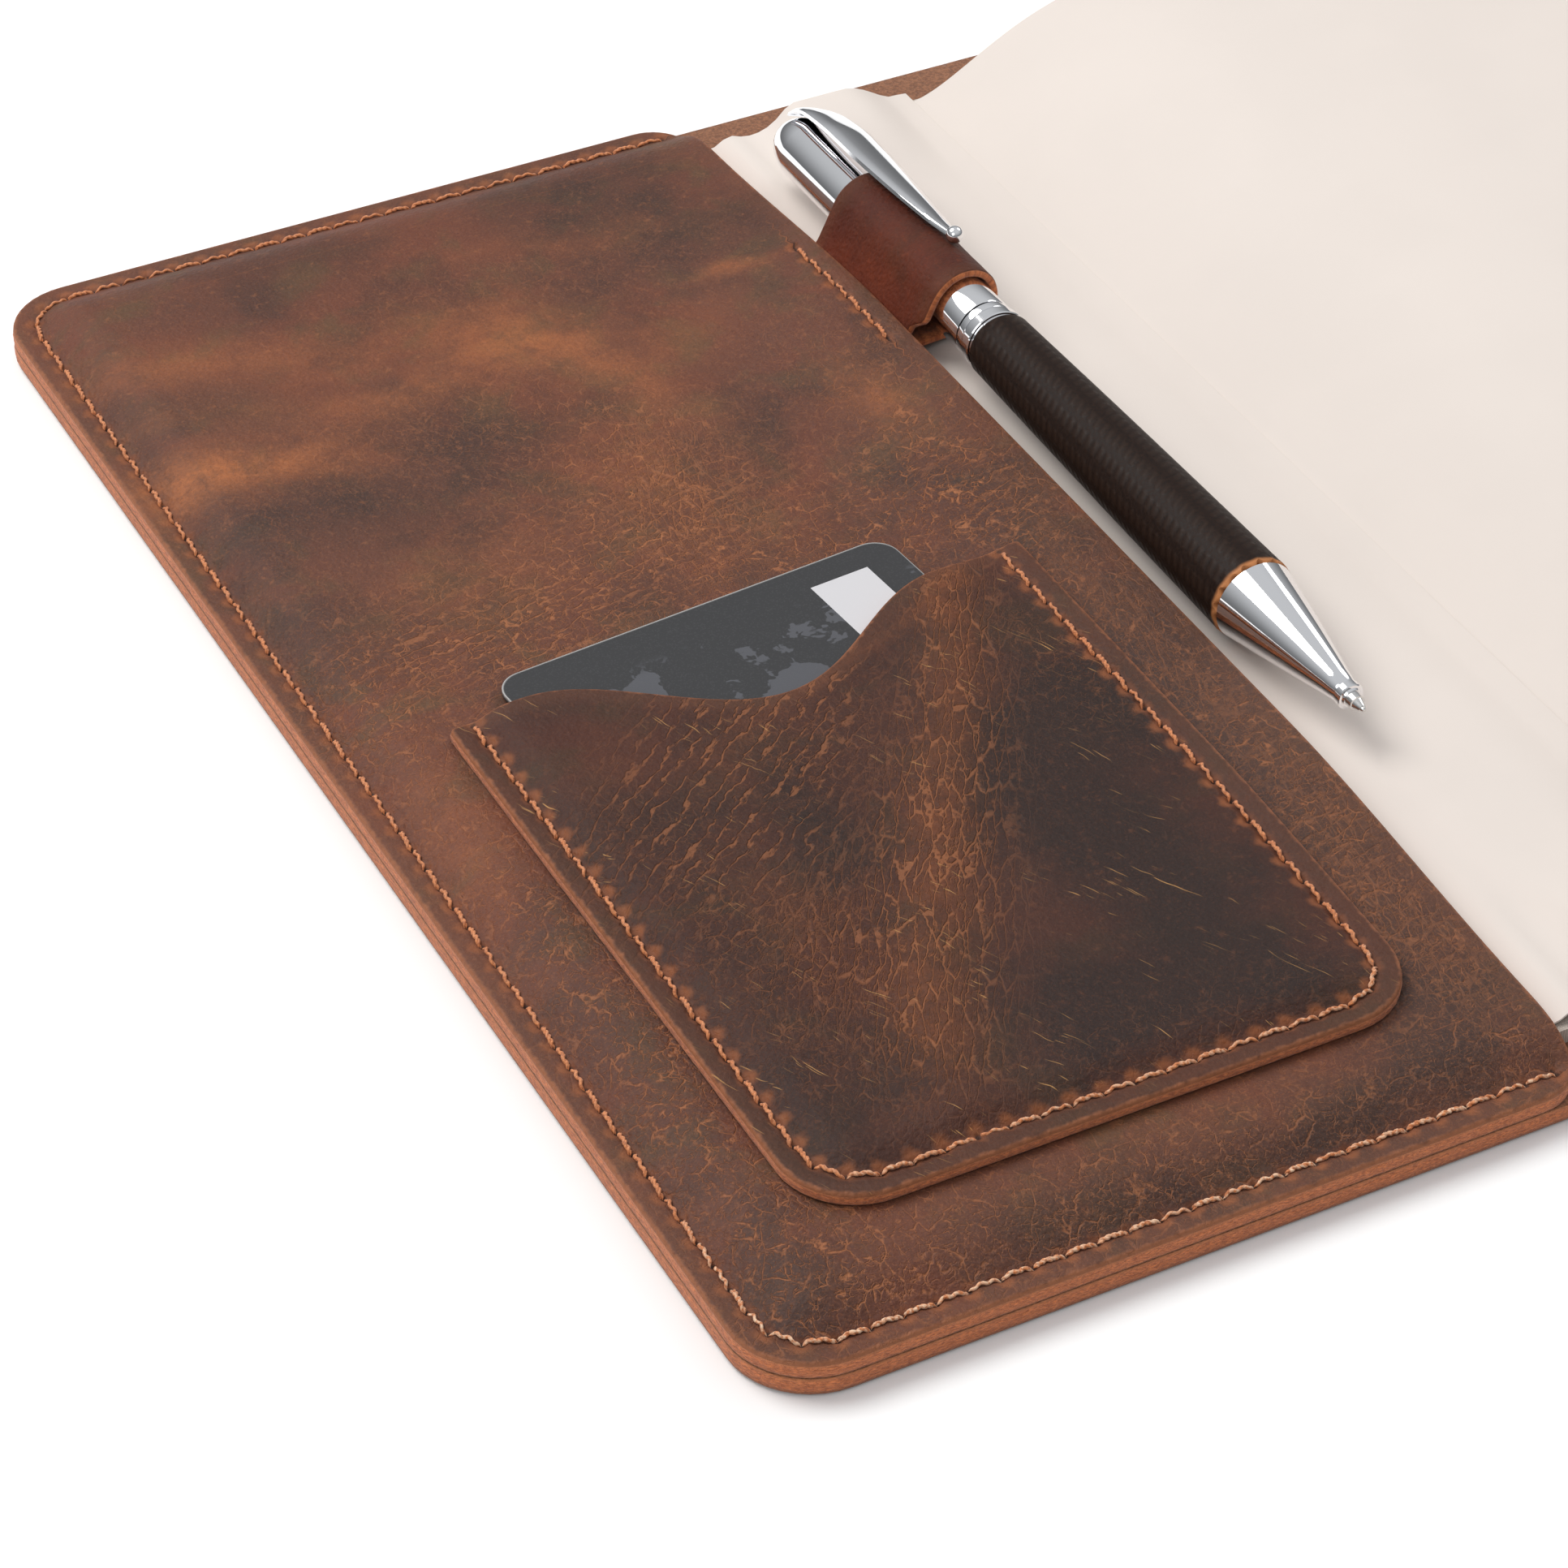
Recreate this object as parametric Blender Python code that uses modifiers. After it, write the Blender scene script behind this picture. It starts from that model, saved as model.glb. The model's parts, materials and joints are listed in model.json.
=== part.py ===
"""Leather notebook cover, lying open, with the notebook, the pen and the card that it holds.

World frame: X across the open cover (front half at -X), Y along the spine (far end at +Y),
Z up, origin on the table under the middle of the spine. Sizes below are in millimetres.
"""
import math

import bmesh
import bpy
from mathutils import Matrix, Vector

MM = 0.001

# ---------------------------------------------------------------- driving sizes
COVER_LENGTH = 220.0  # along the spine
PANEL_WIDTH = 129.0  # each half of the outer leather, from side edge to fold
SPINE_WIDTH = 24.0  # outer leather between the two folds
COVER_THICK = 2.2
CORNER_RADIUS = 9.5

FLAP_SHORT = 30.5  # the inner leather's free edge stops this far before the fold
FLAP_THICK = 2.1
FLAP_CORNER_RADIUS = 6.0
FLAP_LIFT = 3.2  # how far the pen loop holds the front flap's free edge up
LIFT_BAND = 22.5  # width of the part of the flap that is lifted
LIFT_END = 10.0  # the lift starts this far from the sewn ends
LIFT_RUN = 50.0  # and is full this much further in

SEAM_INSET = 3.0
THREAD_RADIUS = 0.35
RIM_FLAT = 4.4  # sewn border where flap and cover lie together
RIM_RAMP = 3.6  # border over which the flap climbs onto the board

BOARD_THICK = 2.0
BOARD_RADIUS = 3.0
BOARD_SHORT = 1.0  # the boards stop this far before the folds
PAPER_THICK = 0.25
PAPER_INSET = 1.0  # the endpapers stop this far inside the boards
NOTEBOOK_SPINE_THICK = 1.0
NOTEBOOK_SPINE_SHORT = 1.5  # and the spine strip this far before the folds
BLOCK_THICK = 13.3  # all the pages together
BLOCK_INSET = 2.8  # the pages stop this far inside the boards
BLOCK_RISE = 0.55  # slope of the first page as it leaves the gutter
BLOCK_START = 0.1  # thickness of the pages at the gutter
FORE_EDGE_SLANT = 10.0  # how far the top pages are drawn back towards the gutter

POCKET_LEFT = 13.5  # from the cover's side edge
POCKET_SLACK = 20.52  # how much wider than the card, seams included
POCKET_NEAR = 15.5  # from the cover's near edge
POCKET_SPARE = 4.9  # how much deeper than the card
POCKET_THICK = 1.6
POCKET_RADIUS = 9.0
POCKET_SEAM_INSET = 2.8
POCKET_RIM = 3.6  # sewn border that lies on the flap
POCKET_RAMP = 1.4  # border over which the pocket climbs onto the card
NOTCH_WIDTH = 54.0
NOTCH_DEPTH = 13.0
NOTCH_SHIFT = -0.5  # notch centre, from the pocket's middle

CARD_WIDTH = 53.98
CARD_HEIGHT = 85.6
CARD_THICK = 0.76
CARD_RADIUS = 3.18
CARD_TILT = 4.8  # degrees, as it sits in the pocket
CARD_ASIDE = 8.0  # its far left corner, from the pocket's left edge
CARD_PROUD = 6.4  # and how far that corner stands out of the pocket's mouth
CARD_REST = 0.3  # extra height over the flap, which is not quite flat

PEN_LENGTH = 141.9
PEN_PAST_LOOP = 21.1  # the cap's end, from the loop's far rim
CAP_RADIUS = 4.15
CAP_WALL = 0.7
CAP_DOME = 3.0
CAP_HALF = 57.2  # the pen's upper half, from the barrel's far end to the cap's end
RING_LENGTH = 3.4
RING_PROUD = 0.25
RING_BEVEL = 0.5
BARREL_LENGTH = 60.7  # leather-covered part of the barrel
BARREL_FAT = 5.4  # its radius at the cone
BARREL_SLIM = 4.5  # its radius at the ring
BARREL_BELLY = 0.09  # how much it swells halfway
SLEEVE_THICK = 0.9
TUBE_WALL = 0.8
CONE_STEP = 0.1  # the cone's base is this much slimmer than the leather
CONE_SMALL = 1.5  # its radius behind the lip
CONE_LIP = 1.2
LIP_PROUD = 0.15
LIP_BEVEL = 0.3
CONE_NECK = 12.0  # depth of the narrow bore
REFILL_RADIUS = 1.6
REFILL_NECK = 1.05
REFILL_LENGTH = 104.0
REFILL_TIP = 2.6  # how far it stands out of the cone
REFILL_SHOULDER = 2.0  # length over which it widens
BALL_RADIUS = 0.35
MECHANISM_RADIUS = 2.9
MECHANISM_LENGTH = 34.0
MECHANISM_END = 1.5
CLIP_ANGLE = 66.0  # where the clip sits round the pen, degrees from +X towards +Z
CLIP_ROOT_WIDTH = 7.4
CLIP_END_WIDTH = 2.2
CLIP_THICK = 1.0
CLIP_INSET = 2.5  # the clip's root, from the cap's end
CLIP_LENGTH = 38.0  # from the root to the centre of the ball
CLIP_RISE = 1.6  # height over the cap where the clip comes down to the loop
CLIP_SHOULDER = 9.0  # that place, from the loop's far rim
CLIP_STEP = 1.5  # from the loop's far rim to where the clip is above the loop
CLIP_SPRING = 0.55  # how much higher the clip is at its ball
CLIP_CROWN = 0.10  # how far its sides bend down, as a share of its width
CLIP_BALL = 1.15
CLIP_GAP = 0.3  # between the clip and the loop

LOOP_THICK = 1.1
LOOP_LENGTH = 26.8
LOOP_INSET = 41.6  # the loop's far rim, from the cover's far edge
LOOP_TAB = 8.0  # how far the tab reaches under the flap
LOOP_BESIDE = 0.75  # between the flap's free edge and the band
LOOP_ROOT = 0.6  # how much thicker the tab is where the band leaves it
LOOP_ROOT_RUN = 1.5
LOOP_LEAN = 203.0  # where the band leaves the circle, in degrees from +X
LOOP_SEAM_INSET = 1.5
LOOP_CLEAR = 0.15  # round the fattest part of the barrel

LAYER_GAP = 0.25  # between pieces that lie on each other
GLUE_GAP = 0.15  # between pieces that are pasted together
FOLD_GAP = 0.3  # each panel stops this far from its fold line
SLIP = 0.2  # between the pen's turned parts
SLOPE_GAP = 0.1  # extra under a thread that lies on a slope
SQUARE = 0.01  # radius of a corner that isn't rounded
MARGIN = 1.0  # how far a sheet's grid runs past the outline it is cut to

# ---------------------------------------------------------------- derived sizes
HALF_WIDTH = PANEL_WIDTH + SPINE_WIDTH / 2
FLAP_WIDTH = PANEL_WIDTH - FLAP_SHORT
HALF_LENGTH = COVER_LENGTH / 2
FOLD_X = SPINE_WIDTH / 2
BOARD_INSET = RIM_FLAT + RIM_RAMP + LAYER_GAP
BOARD_LOW = COVER_THICK + LAYER_GAP
BOARD_HIGH = BOARD_LOW + BOARD_THICK
PAPER_LOW = BOARD_HIGH + GLUE_GAP
PAPER_HIGH = PAPER_LOW + PAPER_THICK
HINGE_Z = PAPER_HIGH
FLAP_RIM_LOW = COVER_THICK + LAYER_GAP
FLAP_LOW = PAPER_HIGH + LAYER_GAP
FLAP_HIGH = FLAP_LOW + FLAP_THICK
BLOCK_LOW = PAPER_HIGH + LAYER_GAP
BLOCK_HALF = HALF_LENGTH - BOARD_INSET - BLOCK_INSET
CARD_LOW = FLAP_HIGH + LAYER_GAP + CARD_REST
CARD_HIGH = CARD_LOW + CARD_THICK
LOOP_INNER = BARREL_FAT + LOOP_CLEAR
LOOP_OUTER = LOOP_INNER + LOOP_THICK
LOOP_FAR = COVER_LENGTH - LOOP_INSET
LOOP_NEAR = LOOP_FAR - LOOP_LENGTH
POCKET_WIDTH = CARD_WIDTH + POCKET_SLACK
POCKET_HEIGHT = CARD_HEIGHT + POCKET_SPARE
CARD_LEFT = POCKET_LEFT + CARD_ASIDE
CARD_FAR = POCKET_NEAR + POCKET_HEIGHT + CARD_PROUD
PEN_X = FLAP_WIDTH + LOOP_BESIDE + LOOP_OUTER - HALF_WIDTH
PEN_Z = PAPER_HIGH + LAYER_GAP + LOOP_OUTER
PEN_END = LOOP_FAR + PEN_PAST_LOOP
PEN_TIP = PEN_END - PEN_LENGTH
BARREL_FAR = PEN_END - CAP_HALF
BARREL_NEAR = BARREL_FAR - BARREL_LENGTH
CLIP_FAR = PEN_END - CLIP_INSET
CLIP_NEAR = CLIP_FAR - CLIP_LENGTH
ARC_STEPS = 6
ROUND_STEPS = 24

# ---------------------------------------------------------------- scene set-up
for leftover in list(bpy.data.objects):
    bpy.data.objects.remove(leftover, do_unlink=True)

PARTS = bpy.data.collections.new("leather_notebook_cover")
CUTTERS = bpy.data.collections.new("cutters")
bpy.context.scene.collection.children.link(PARTS)
bpy.context.scene.collection.children.link(CUTTERS)


def material(name, color, roughness, metallic=0.0):
    """A Principled material of one colour."""
    made = bpy.data.materials.new(name)
    made.use_nodes = True
    shader = made.node_tree.nodes["Principled BSDF"]
    shader.inputs["Base Color"].default_value = (*color, 1.0)
    shader.inputs["Roughness"].default_value = roughness
    shader.inputs["Metallic"].default_value = metallic
    return made


OUTER_LEATHER = (0.115, 0.052, 0.030)
INNER_LEATHER = (0.125, 0.055, 0.032)
POCKET_LEATHER = (0.110, 0.050, 0.030)
LOOP_LEATHER = (0.135, 0.048, 0.026)
SLEEVE_LEATHER = (0.045, 0.035, 0.026)
THREAD = (0.55, 0.23, 0.10)
BOARD_GREY = (0.035, 0.032, 0.030)
CREAM = (0.88, 0.82, 0.76)
PAGE_EDGE = (0.86, 0.80, 0.73)
CARD_GREY = (0.065, 0.068, 0.072)
CHROME = (0.80, 0.80, 0.82)
BRASS = (0.62, 0.48, 0.22)
STEEL = (0.55, 0.54, 0.52)


# ---------------------------------------------------------------- shape helpers
def smooth(value):
    """0 below 0, 1 above 1 and an even S between."""
    value = max(0.0, min(1.0, value))
    return value * value * (3 - 2 * value)


def arc(center, radius, start, end, steps=ARC_STEPS):
    """Points on a circle, angles in degrees, both ends included."""
    points = []
    for step in range(steps + 1):
        angle = math.radians(start + (end - start) * step / steps)
        points.append((center[0] + radius * math.cos(angle), center[1] + radius * math.sin(angle)))
    return points


def rounded_rectangle(x0, y0, x1, y1, radii, steps=ARC_STEPS):
    """Outline with its own radius at each corner, from near left round to far left."""
    near_left, near_right, far_right, far_left = radii
    outline = arc((x0 + near_left, y0 + near_left), near_left, 180, 270, steps)
    outline += arc((x1 - near_right, y0 + near_right), near_right, 270, 360, steps)
    outline += arc((x1 - far_right, y1 - far_right), far_right, 0, 90, steps)
    outline += arc((x0 + far_left, y1 - far_left), far_left, 90, 180, steps)
    return outline


def finish(mesh, name, look, collection=PARTS, smooth_angle=None):
    """Turn a mesh in millimetres into a named object in metres."""
    mesh.transform(Matrix.Scale(MM, 4))
    mesh.name = name
    made = bpy.data.objects.new(name, mesh)
    collection.objects.link(made)
    mesh.materials.clear()
    if look is not None:
        mesh.materials.append(look)
    if smooth_angle is not None:
        mesh.shade_smooth()
        mesh.set_sharp_from_angle(angle=math.radians(smooth_angle))
    return made


def mesh_from_curve(curve, name):
    """The evaluated mesh of a curve, with its caps welded on and in curve units."""
    holder = bpy.data.objects.new(name, curve)
    bpy.context.scene.collection.objects.link(holder)
    bpy.context.view_layer.update()
    evaluated = holder.evaluated_get(bpy.context.evaluated_depsgraph_get())
    mesh = bpy.data.meshes.new_from_object(evaluated)
    bpy.data.objects.remove(holder, do_unlink=True)
    bpy.data.curves.remove(curve)
    edit = bmesh.new()
    edit.from_mesh(mesh)
    bmesh.ops.remove_doubles(edit, verts=edit.verts, dist=0.0001)
    bmesh.ops.recalc_face_normals(edit, faces=edit.faces)
    edit.to_mesh(mesh)
    edit.free()
    return mesh


def flat_curve(name, outlines, thickness):
    """A filled 2D curve of closed outlines; an outline inside another is a hole."""
    curve = bpy.data.curves.new(name, "CURVE")
    curve.dimensions = "2D"
    curve.fill_mode = "BOTH"
    curve.extrude = thickness / 2
    for outline in outlines:
        spline = curve.splines.new("POLY")
        spline.points.add(len(outline) - 1)
        for point, (x, y) in zip(spline.points, outline):
            point.co = (x, y, 0.0, 1.0)
        spline.use_cyclic_u = True
    return curve


def plate(name, outline, low, high, look, collection=PARTS):
    """A flat sheet with the given outline in plan, between two heights."""
    mesh = mesh_from_curve(flat_curve(name, [outline], high - low), name)
    mesh.transform(Matrix.Translation((0, 0, (low + high) / 2)))
    return finish(mesh, name, look, collection)


def extrusion(name, outlines, near, far, look, smooth_angle=None):
    """A section in the XZ plane carried along Y from near to far."""
    mesh = mesh_from_curve(flat_curve(name, outlines, far - near), name)
    mesh.transform(Matrix.Rotation(math.radians(90), 4, "X"))
    mesh.transform(Matrix.Translation((0, (near + far) / 2, 0)))
    return finish(mesh, name, look, smooth_angle=smooth_angle)


def thread(name, points, look):
    """A sewn line of thread through the points, in millimetres."""
    curve = bpy.data.curves.new(name, "CURVE")
    curve.dimensions = "3D"
    curve.bevel_depth = THREAD_RADIUS
    curve.bevel_resolution = 1
    curve.use_fill_caps = True
    spline = curve.splines.new("POLY")
    spline.points.add(len(points) - 1)
    for point, place in zip(spline.points, points):
        point.co = (*place, 1.0)
    return finish(mesh_from_curve(curve, name), name, look, smooth_angle=50)


def cut(target, cutter, operation):
    """Boolean the target with a cutter and keep the result in its mesh."""
    modifier = target.modifiers.new(operation.lower(), "BOOLEAN")
    modifier.operation = operation
    modifier.solver = "EXACT"
    modifier.object = cutter
    cutter.hide_render = True
    cutter.display_type = "WIRE"


def sheet(name, stations_x, stations_y, height, thickness, look):
    """A leather sheet whose underside follows height(x, y), Solidified upwards."""
    edit = bmesh.new()
    rows = []
    for y in stations_y:
        rows.append([edit.verts.new((x, y, height(x, y))) for x in stations_x])
    for row, next_row in zip(rows, rows[1:]):
        for index in range(len(row) - 1):
            edit.faces.new((row[index], row[index + 1], next_row[index + 1], next_row[index]))
    mesh = bpy.data.meshes.new(name)
    edit.to_mesh(mesh)
    edit.free()
    made = finish(mesh, name, look)
    solid = made.modifiers.new("leather thickness", "SOLIDIFY")
    solid.thickness = thickness * MM
    solid.offset = 1.0
    return made


def turned(name, profile, look, axis_x=PEN_X, axis_z=PEN_Z, steps=ROUND_STEPS):
    """Turn a closed profile of (distance along Y, radius) round the pen's axis."""
    area = 0.0
    for (along, radius), (next_along, next_radius) in zip(profile, profile[1:] + profile[:1]):
        area += radius * next_along - next_radius * along
    if area > 0:
        profile = profile[::-1]
    edit = bmesh.new()
    points = [edit.verts.new((radius, 0.0, along)) for along, radius in profile]
    for index, point in enumerate(points):
        following = points[(index + 1) % len(points)]
        if point.co.x > 0 or following.co.x > 0:
            edit.edges.new((point, following))
    mesh = bpy.data.meshes.new(name)
    edit.to_mesh(mesh)
    edit.free()
    made = finish(mesh, name, look)
    screw = made.modifiers.new("turn", "SCREW")
    screw.axis = "Z"
    screw.angle = math.radians(360)
    screw.steps = steps
    screw.render_steps = steps
    screw.use_merge_vertices = True
    screw.merge_threshold = 0.00001
    made.rotation_euler = (math.radians(-90), 0, 0)
    made.location = (axis_x * MM, -HALF_LENGTH * MM, axis_z * MM)
    return made


# ---------------------------------------------------------------- leather cover
def plan_y(from_near_edge):
    """World Y of a distance from the cover's near edge."""
    return from_near_edge - HALF_LENGTH


def front_x(from_side):
    """World X of a distance from the front half's side edge."""
    return from_side - HALF_WIDTH


def border_inset(from_side, from_end, radius):
    """Distance inside the border of a sheet with a rounded corner."""
    if max(from_side, from_end) < radius:
        return radius - math.hypot(radius - from_side, radius - from_end)
    return min(from_side, from_end)


def edge_rise(from_side, from_end):
    """0 on the sewn border, 1 where the flap lies on the board."""
    inset = border_inset(from_side, from_end, CORNER_RADIUS)
    return smooth((inset - RIM_FLAT) / RIM_RAMP)


def flap_under(from_side, y, lift):
    """Height of the flap's underside."""
    from_end = HALF_LENGTH - abs(y)
    height = FLAP_RIM_LOW + (FLAP_LOW - FLAP_RIM_LOW) * edge_rise(from_side, from_end)
    across = smooth((from_side - FLAP_WIDTH + LIFT_BAND) / LIFT_BAND)
    along = smooth((from_end - LIFT_END) / LIFT_RUN)
    return height + lift * across * along


def flap_stations():
    """Distances from the side edge and places along Y where the flap's sheet has rows."""
    ramp = [RIM_FLAT + RIM_RAMP * share for share in (0.0, 0.33, 0.67, 1.0)]
    band = [FLAP_WIDTH - LIFT_BAND * share for share in (1.0, 0.8, 0.6, 0.45, 0.3, 0.15, 0.0)]
    level = FLAP_WIDTH - LIFT_BAND - ramp[-1]
    across = [-MARGIN] + ramp + [ramp[-1] + level * share for share in (0.18, 0.55)] + band
    inward = ramp + [LIFT_END + LIFT_RUN * share for share in (0.15, 0.4, 0.6, 0.8, 1.0)]
    near = [-HALF_LENGTH - MARGIN] + [inset - HALF_LENGTH for inset in inward]
    return across, near + [0.0] + [-y for y in reversed(near)]


def cover_panels(look):
    """The outer leather: one sheet on the real cover, in three panels at its two folds."""
    edge = HALF_LENGTH
    outward = (CORNER_RADIUS, SQUARE, SQUARE, CORNER_RADIUS)
    front = rounded_rectangle(-HALF_WIDTH, -edge, -FOLD_X - FOLD_GAP, edge, outward)
    back = [(-x, y) for x, y in reversed(front)]
    middle = [
        (-FOLD_X + FOLD_GAP, -edge),
        (FOLD_X - FOLD_GAP, -edge),
        (FOLD_X - FOLD_GAP, edge),
        (-FOLD_X + FOLD_GAP, edge),
    ]
    return (
        plate("cover_front_panel", front, 0, COVER_THICK, look),
        plate("cover_spine_panel", middle, 0, COVER_THICK, look),
        plate("cover_back_panel", back, 0, COVER_THICK, look),
    )


def flap(name, side, lift, look):
    """An inner flap: sewn to the cover on three edges, free towards the spine."""
    across, along = flap_stations()
    xs = [side * (HALF_WIDTH - distance) for distance in across]
    if side > 0:
        xs.reverse()

    def height(x, y):
        return flap_under(HALF_WIDTH - abs(x), y, lift)

    made = sheet(name, xs, along, height, FLAP_THICK, look)
    edge = HALF_LENGTH
    free = HALF_WIDTH - FLAP_WIDTH
    outer = CORNER_RADIUS
    inner = FLAP_CORNER_RADIUS
    if side < 0:
        outline = rounded_rectangle(-HALF_WIDTH, -edge, -free, edge, (outer, inner, inner, outer))
    else:
        outline = rounded_rectangle(free, -edge, HALF_WIDTH, edge, (inner, outer, outer, inner))
    cutter = plate(name + "_outline", outline, 0, 3 * FLAP_HIGH, None, CUTTERS)
    cut(made, cutter, "INTERSECT")
    return made


def border_seam(name, side, look):
    """The thread round the three sewn edges of one half."""
    inset = SEAM_INSET
    radius = CORNER_RADIUS - inset
    height = FLAP_RIM_LOW + FLAP_THICK + LAYER_GAP + THREAD_RADIUS
    outer = HALF_WIDTH - inset
    end = HALF_LENGTH - inset
    stop = HALF_WIDTH - FLAP_WIDTH + SEAM_INSET
    points = [(stop, -end)]
    points += arc((outer - radius, -end + radius), radius, 270, 360)
    points += arc((outer - radius, end - radius), radius, 0, 90)
    points += [(stop, end)]
    return thread(name, [(side * x, y, height) for x, y in points], look)


# ---------------------------------------------------------------- pocket and card
def pocket_outline():
    """The pocket in plan, with rounded near corners and a thumb notch in its mouth."""
    x0 = front_x(POCKET_LEFT)
    x1 = x0 + POCKET_WIDTH
    y0 = plan_y(POCKET_NEAR)
    y1 = y0 + POCKET_HEIGHT
    radius = POCKET_RADIUS
    outline = arc((x0 + radius, y0 + radius), radius, 180, 270)
    outline += arc((x1 - radius, y0 + radius), radius, 270, 360)
    outline.append((x1, y1))
    middle = (x0 + x1) / 2 + NOTCH_SHIFT
    steps = 16
    for step in range(steps + 1):
        share = step / steps
        dip = NOTCH_DEPTH * (1 - math.cos(2 * math.pi * share)) / 2
        outline.append((middle + NOTCH_WIDTH * (0.5 - share), y1 - dip))
    outline.append((x0, y1))
    return outline


def pocket_under(x, y):
    """Height of the pocket's underside: on the flap at its sewn edges, over the card inside."""
    from_side = x + HALF_WIDTH
    rim = flap_under(from_side, y, FLAP_LIFT) + FLAP_THICK + LAYER_GAP
    sideways = min(from_side - POCKET_LEFT, POCKET_LEFT + POCKET_WIDTH - from_side)
    inset = border_inset(sideways, y - plan_y(POCKET_NEAR), POCKET_RADIUS)
    over = max(rim, CARD_HIGH + LAYER_GAP)
    return rim + (over - rim) * smooth((inset - POCKET_RIM) / POCKET_RAMP)


def card_pocket(look):
    """The leather pocket on the front flap."""
    x0 = front_x(POCKET_LEFT)
    x1 = x0 + POCKET_WIDTH
    y0 = plan_y(POCKET_NEAR)
    ramp = [POCKET_RIM, POCKET_RIM + POCKET_RAMP / 2, POCKET_RIM + POCKET_RAMP]
    across, along = flap_stations()
    clear = ramp[-1] + LAYER_GAP
    inner_x = [front_x(d) for d in across if x0 + clear < front_x(d) < x1 - clear]
    inner_y = [y for y in along if y0 + clear < y < y0 + POCKET_HEIGHT]
    xs = [x0 - MARGIN] + [x0 + inset for inset in ramp] + inner_x
    xs += [x1 - inset for inset in reversed(ramp)] + [x1 + MARGIN]
    ys = [y0 - MARGIN] + [y0 + inset for inset in ramp] + inner_y + [y0 + POCKET_HEIGHT + MARGIN]
    made = sheet("card_pocket", xs, ys, pocket_under, POCKET_THICK, look)
    cutter = plate("card_pocket_outline", pocket_outline(), 0, 3 * FLAP_HIGH, None, CUTTERS)
    cut(made, cutter, "INTERSECT")
    return made


def pocket_seam(look):
    """The thread round the pocket's three sewn edges."""
    inset = POCKET_SEAM_INSET
    x0 = front_x(POCKET_LEFT) + inset
    x1 = front_x(POCKET_LEFT) + POCKET_WIDTH - inset
    y0 = plan_y(POCKET_NEAR) + inset
    y1 = plan_y(POCKET_NEAR) + POCKET_HEIGHT - inset
    radius = POCKET_RADIUS - inset
    side = [y0 + radius + (y1 - y0 - radius) * step / 8 for step in range(1, 9)]
    plan = [(x0, y) for y in reversed(side)]
    plan += arc((x0 + radius, y0 + radius), radius, 180, 270)
    plan += arc((x1 - radius, y0 + radius), radius, 270, 360)
    plan += [(x1, y) for y in side]
    over = POCKET_THICK + LAYER_GAP + THREAD_RADIUS
    return thread("pocket_seam", [(x, y, pocket_under(x, y) + over) for x, y in plan], look)


def card_axes():
    """World directions of the card's width and of the way it slides out."""
    tilt = math.radians(CARD_TILT)
    return Vector((math.cos(tilt), math.sin(tilt))), Vector((-math.sin(tilt), math.cos(tilt)))


def card(look):
    """A card of bank-card size, standing in the pocket a little askew."""
    outline = rounded_rectangle(0, -CARD_HEIGHT, CARD_WIDTH, 0, (CARD_RADIUS,) * 4)
    across, out = card_axes()
    corner = Vector((front_x(CARD_LEFT), plan_y(CARD_FAR)))
    placed = [tuple(corner + across * x + out * y) for x, y in outline]
    return plate("card", placed, CARD_LOW, CARD_HIGH, look)


# ---------------------------------------------------------------- notebook
def board(name, side, look):
    """A cover board of the notebook, pushed into its flap."""
    edge = HALF_LENGTH - BOARD_INSET
    outer = HALF_WIDTH - BOARD_INSET
    radii = (BOARD_RADIUS, SQUARE, SQUARE, BOARD_RADIUS)
    outline = rounded_rectangle(-outer, -edge, -FOLD_X - BOARD_SHORT, edge, radii)
    if side > 0:
        outline = [(-x, y) for x, y in reversed(outline)]
    return plate(name, outline, BOARD_LOW, BOARD_HIGH, look)


def endpaper(name, side, look):
    """The sheet pasted on the inside of a board."""
    edge = HALF_LENGTH - BOARD_INSET - PAPER_INSET
    outer = HALF_WIDTH - BOARD_INSET - PAPER_INSET
    inner = FOLD_X + BOARD_SHORT
    low, high = sorted((side * outer, side * inner))
    outline = [(low, -edge), (high, -edge), (high, edge), (low, edge)]
    return plate(name, outline, PAPER_LOW, PAPER_HIGH, look)


def notebook_spine(look):
    """The notebook's own spine strip, between its two boards."""
    edge = HALF_LENGTH - BOARD_INSET
    reach = FOLD_X - NOTEBOOK_SPINE_SHORT
    outline = [(-reach, -edge), (reach, -edge), (reach, edge), (-reach, edge)]
    return plate("notebook_spine", outline, BOARD_LOW, BOARD_LOW + NOTEBOOK_SPINE_THICK, look)


def page_top(x):
    """Height of the uppermost page: it climbs out of the gutter and levels out."""
    run = max(0.0, x + FOLD_X)
    climb = (BLOCK_THICK - BLOCK_START) * math.tanh(BLOCK_RISE * run / BLOCK_THICK)
    return BLOCK_LOW + BLOCK_START + climb


def gutter_profile():
    """Section of the pages that stand over the spine panel."""
    left = -FOLD_X + FOLD_GAP
    right = FOLD_X - FOLD_GAP
    steps = 8
    top = []
    for step in range(steps + 1):
        x = right + (left - right) * step / steps
        top.append((x, page_top(x)))
    return [(left, BLOCK_LOW), (right, BLOCK_LOW)] + top


def sweep_limit(angle):
    """How far the gutter pages reach in a direction as the spine panel turns up by 90 degrees."""
    reach = 0.0
    steps = 96
    for step in range(steps + 1):
        x = -SPINE_WIDTH * step / steps
        z = page_top(FOLD_X + x) - HINGE_Z
        bearing = math.degrees(math.atan2(z, x))
        if bearing <= angle + 90.0:
            reach = max(reach, math.hypot(x, z))
    return reach + 2 * LAYER_GAP


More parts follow.
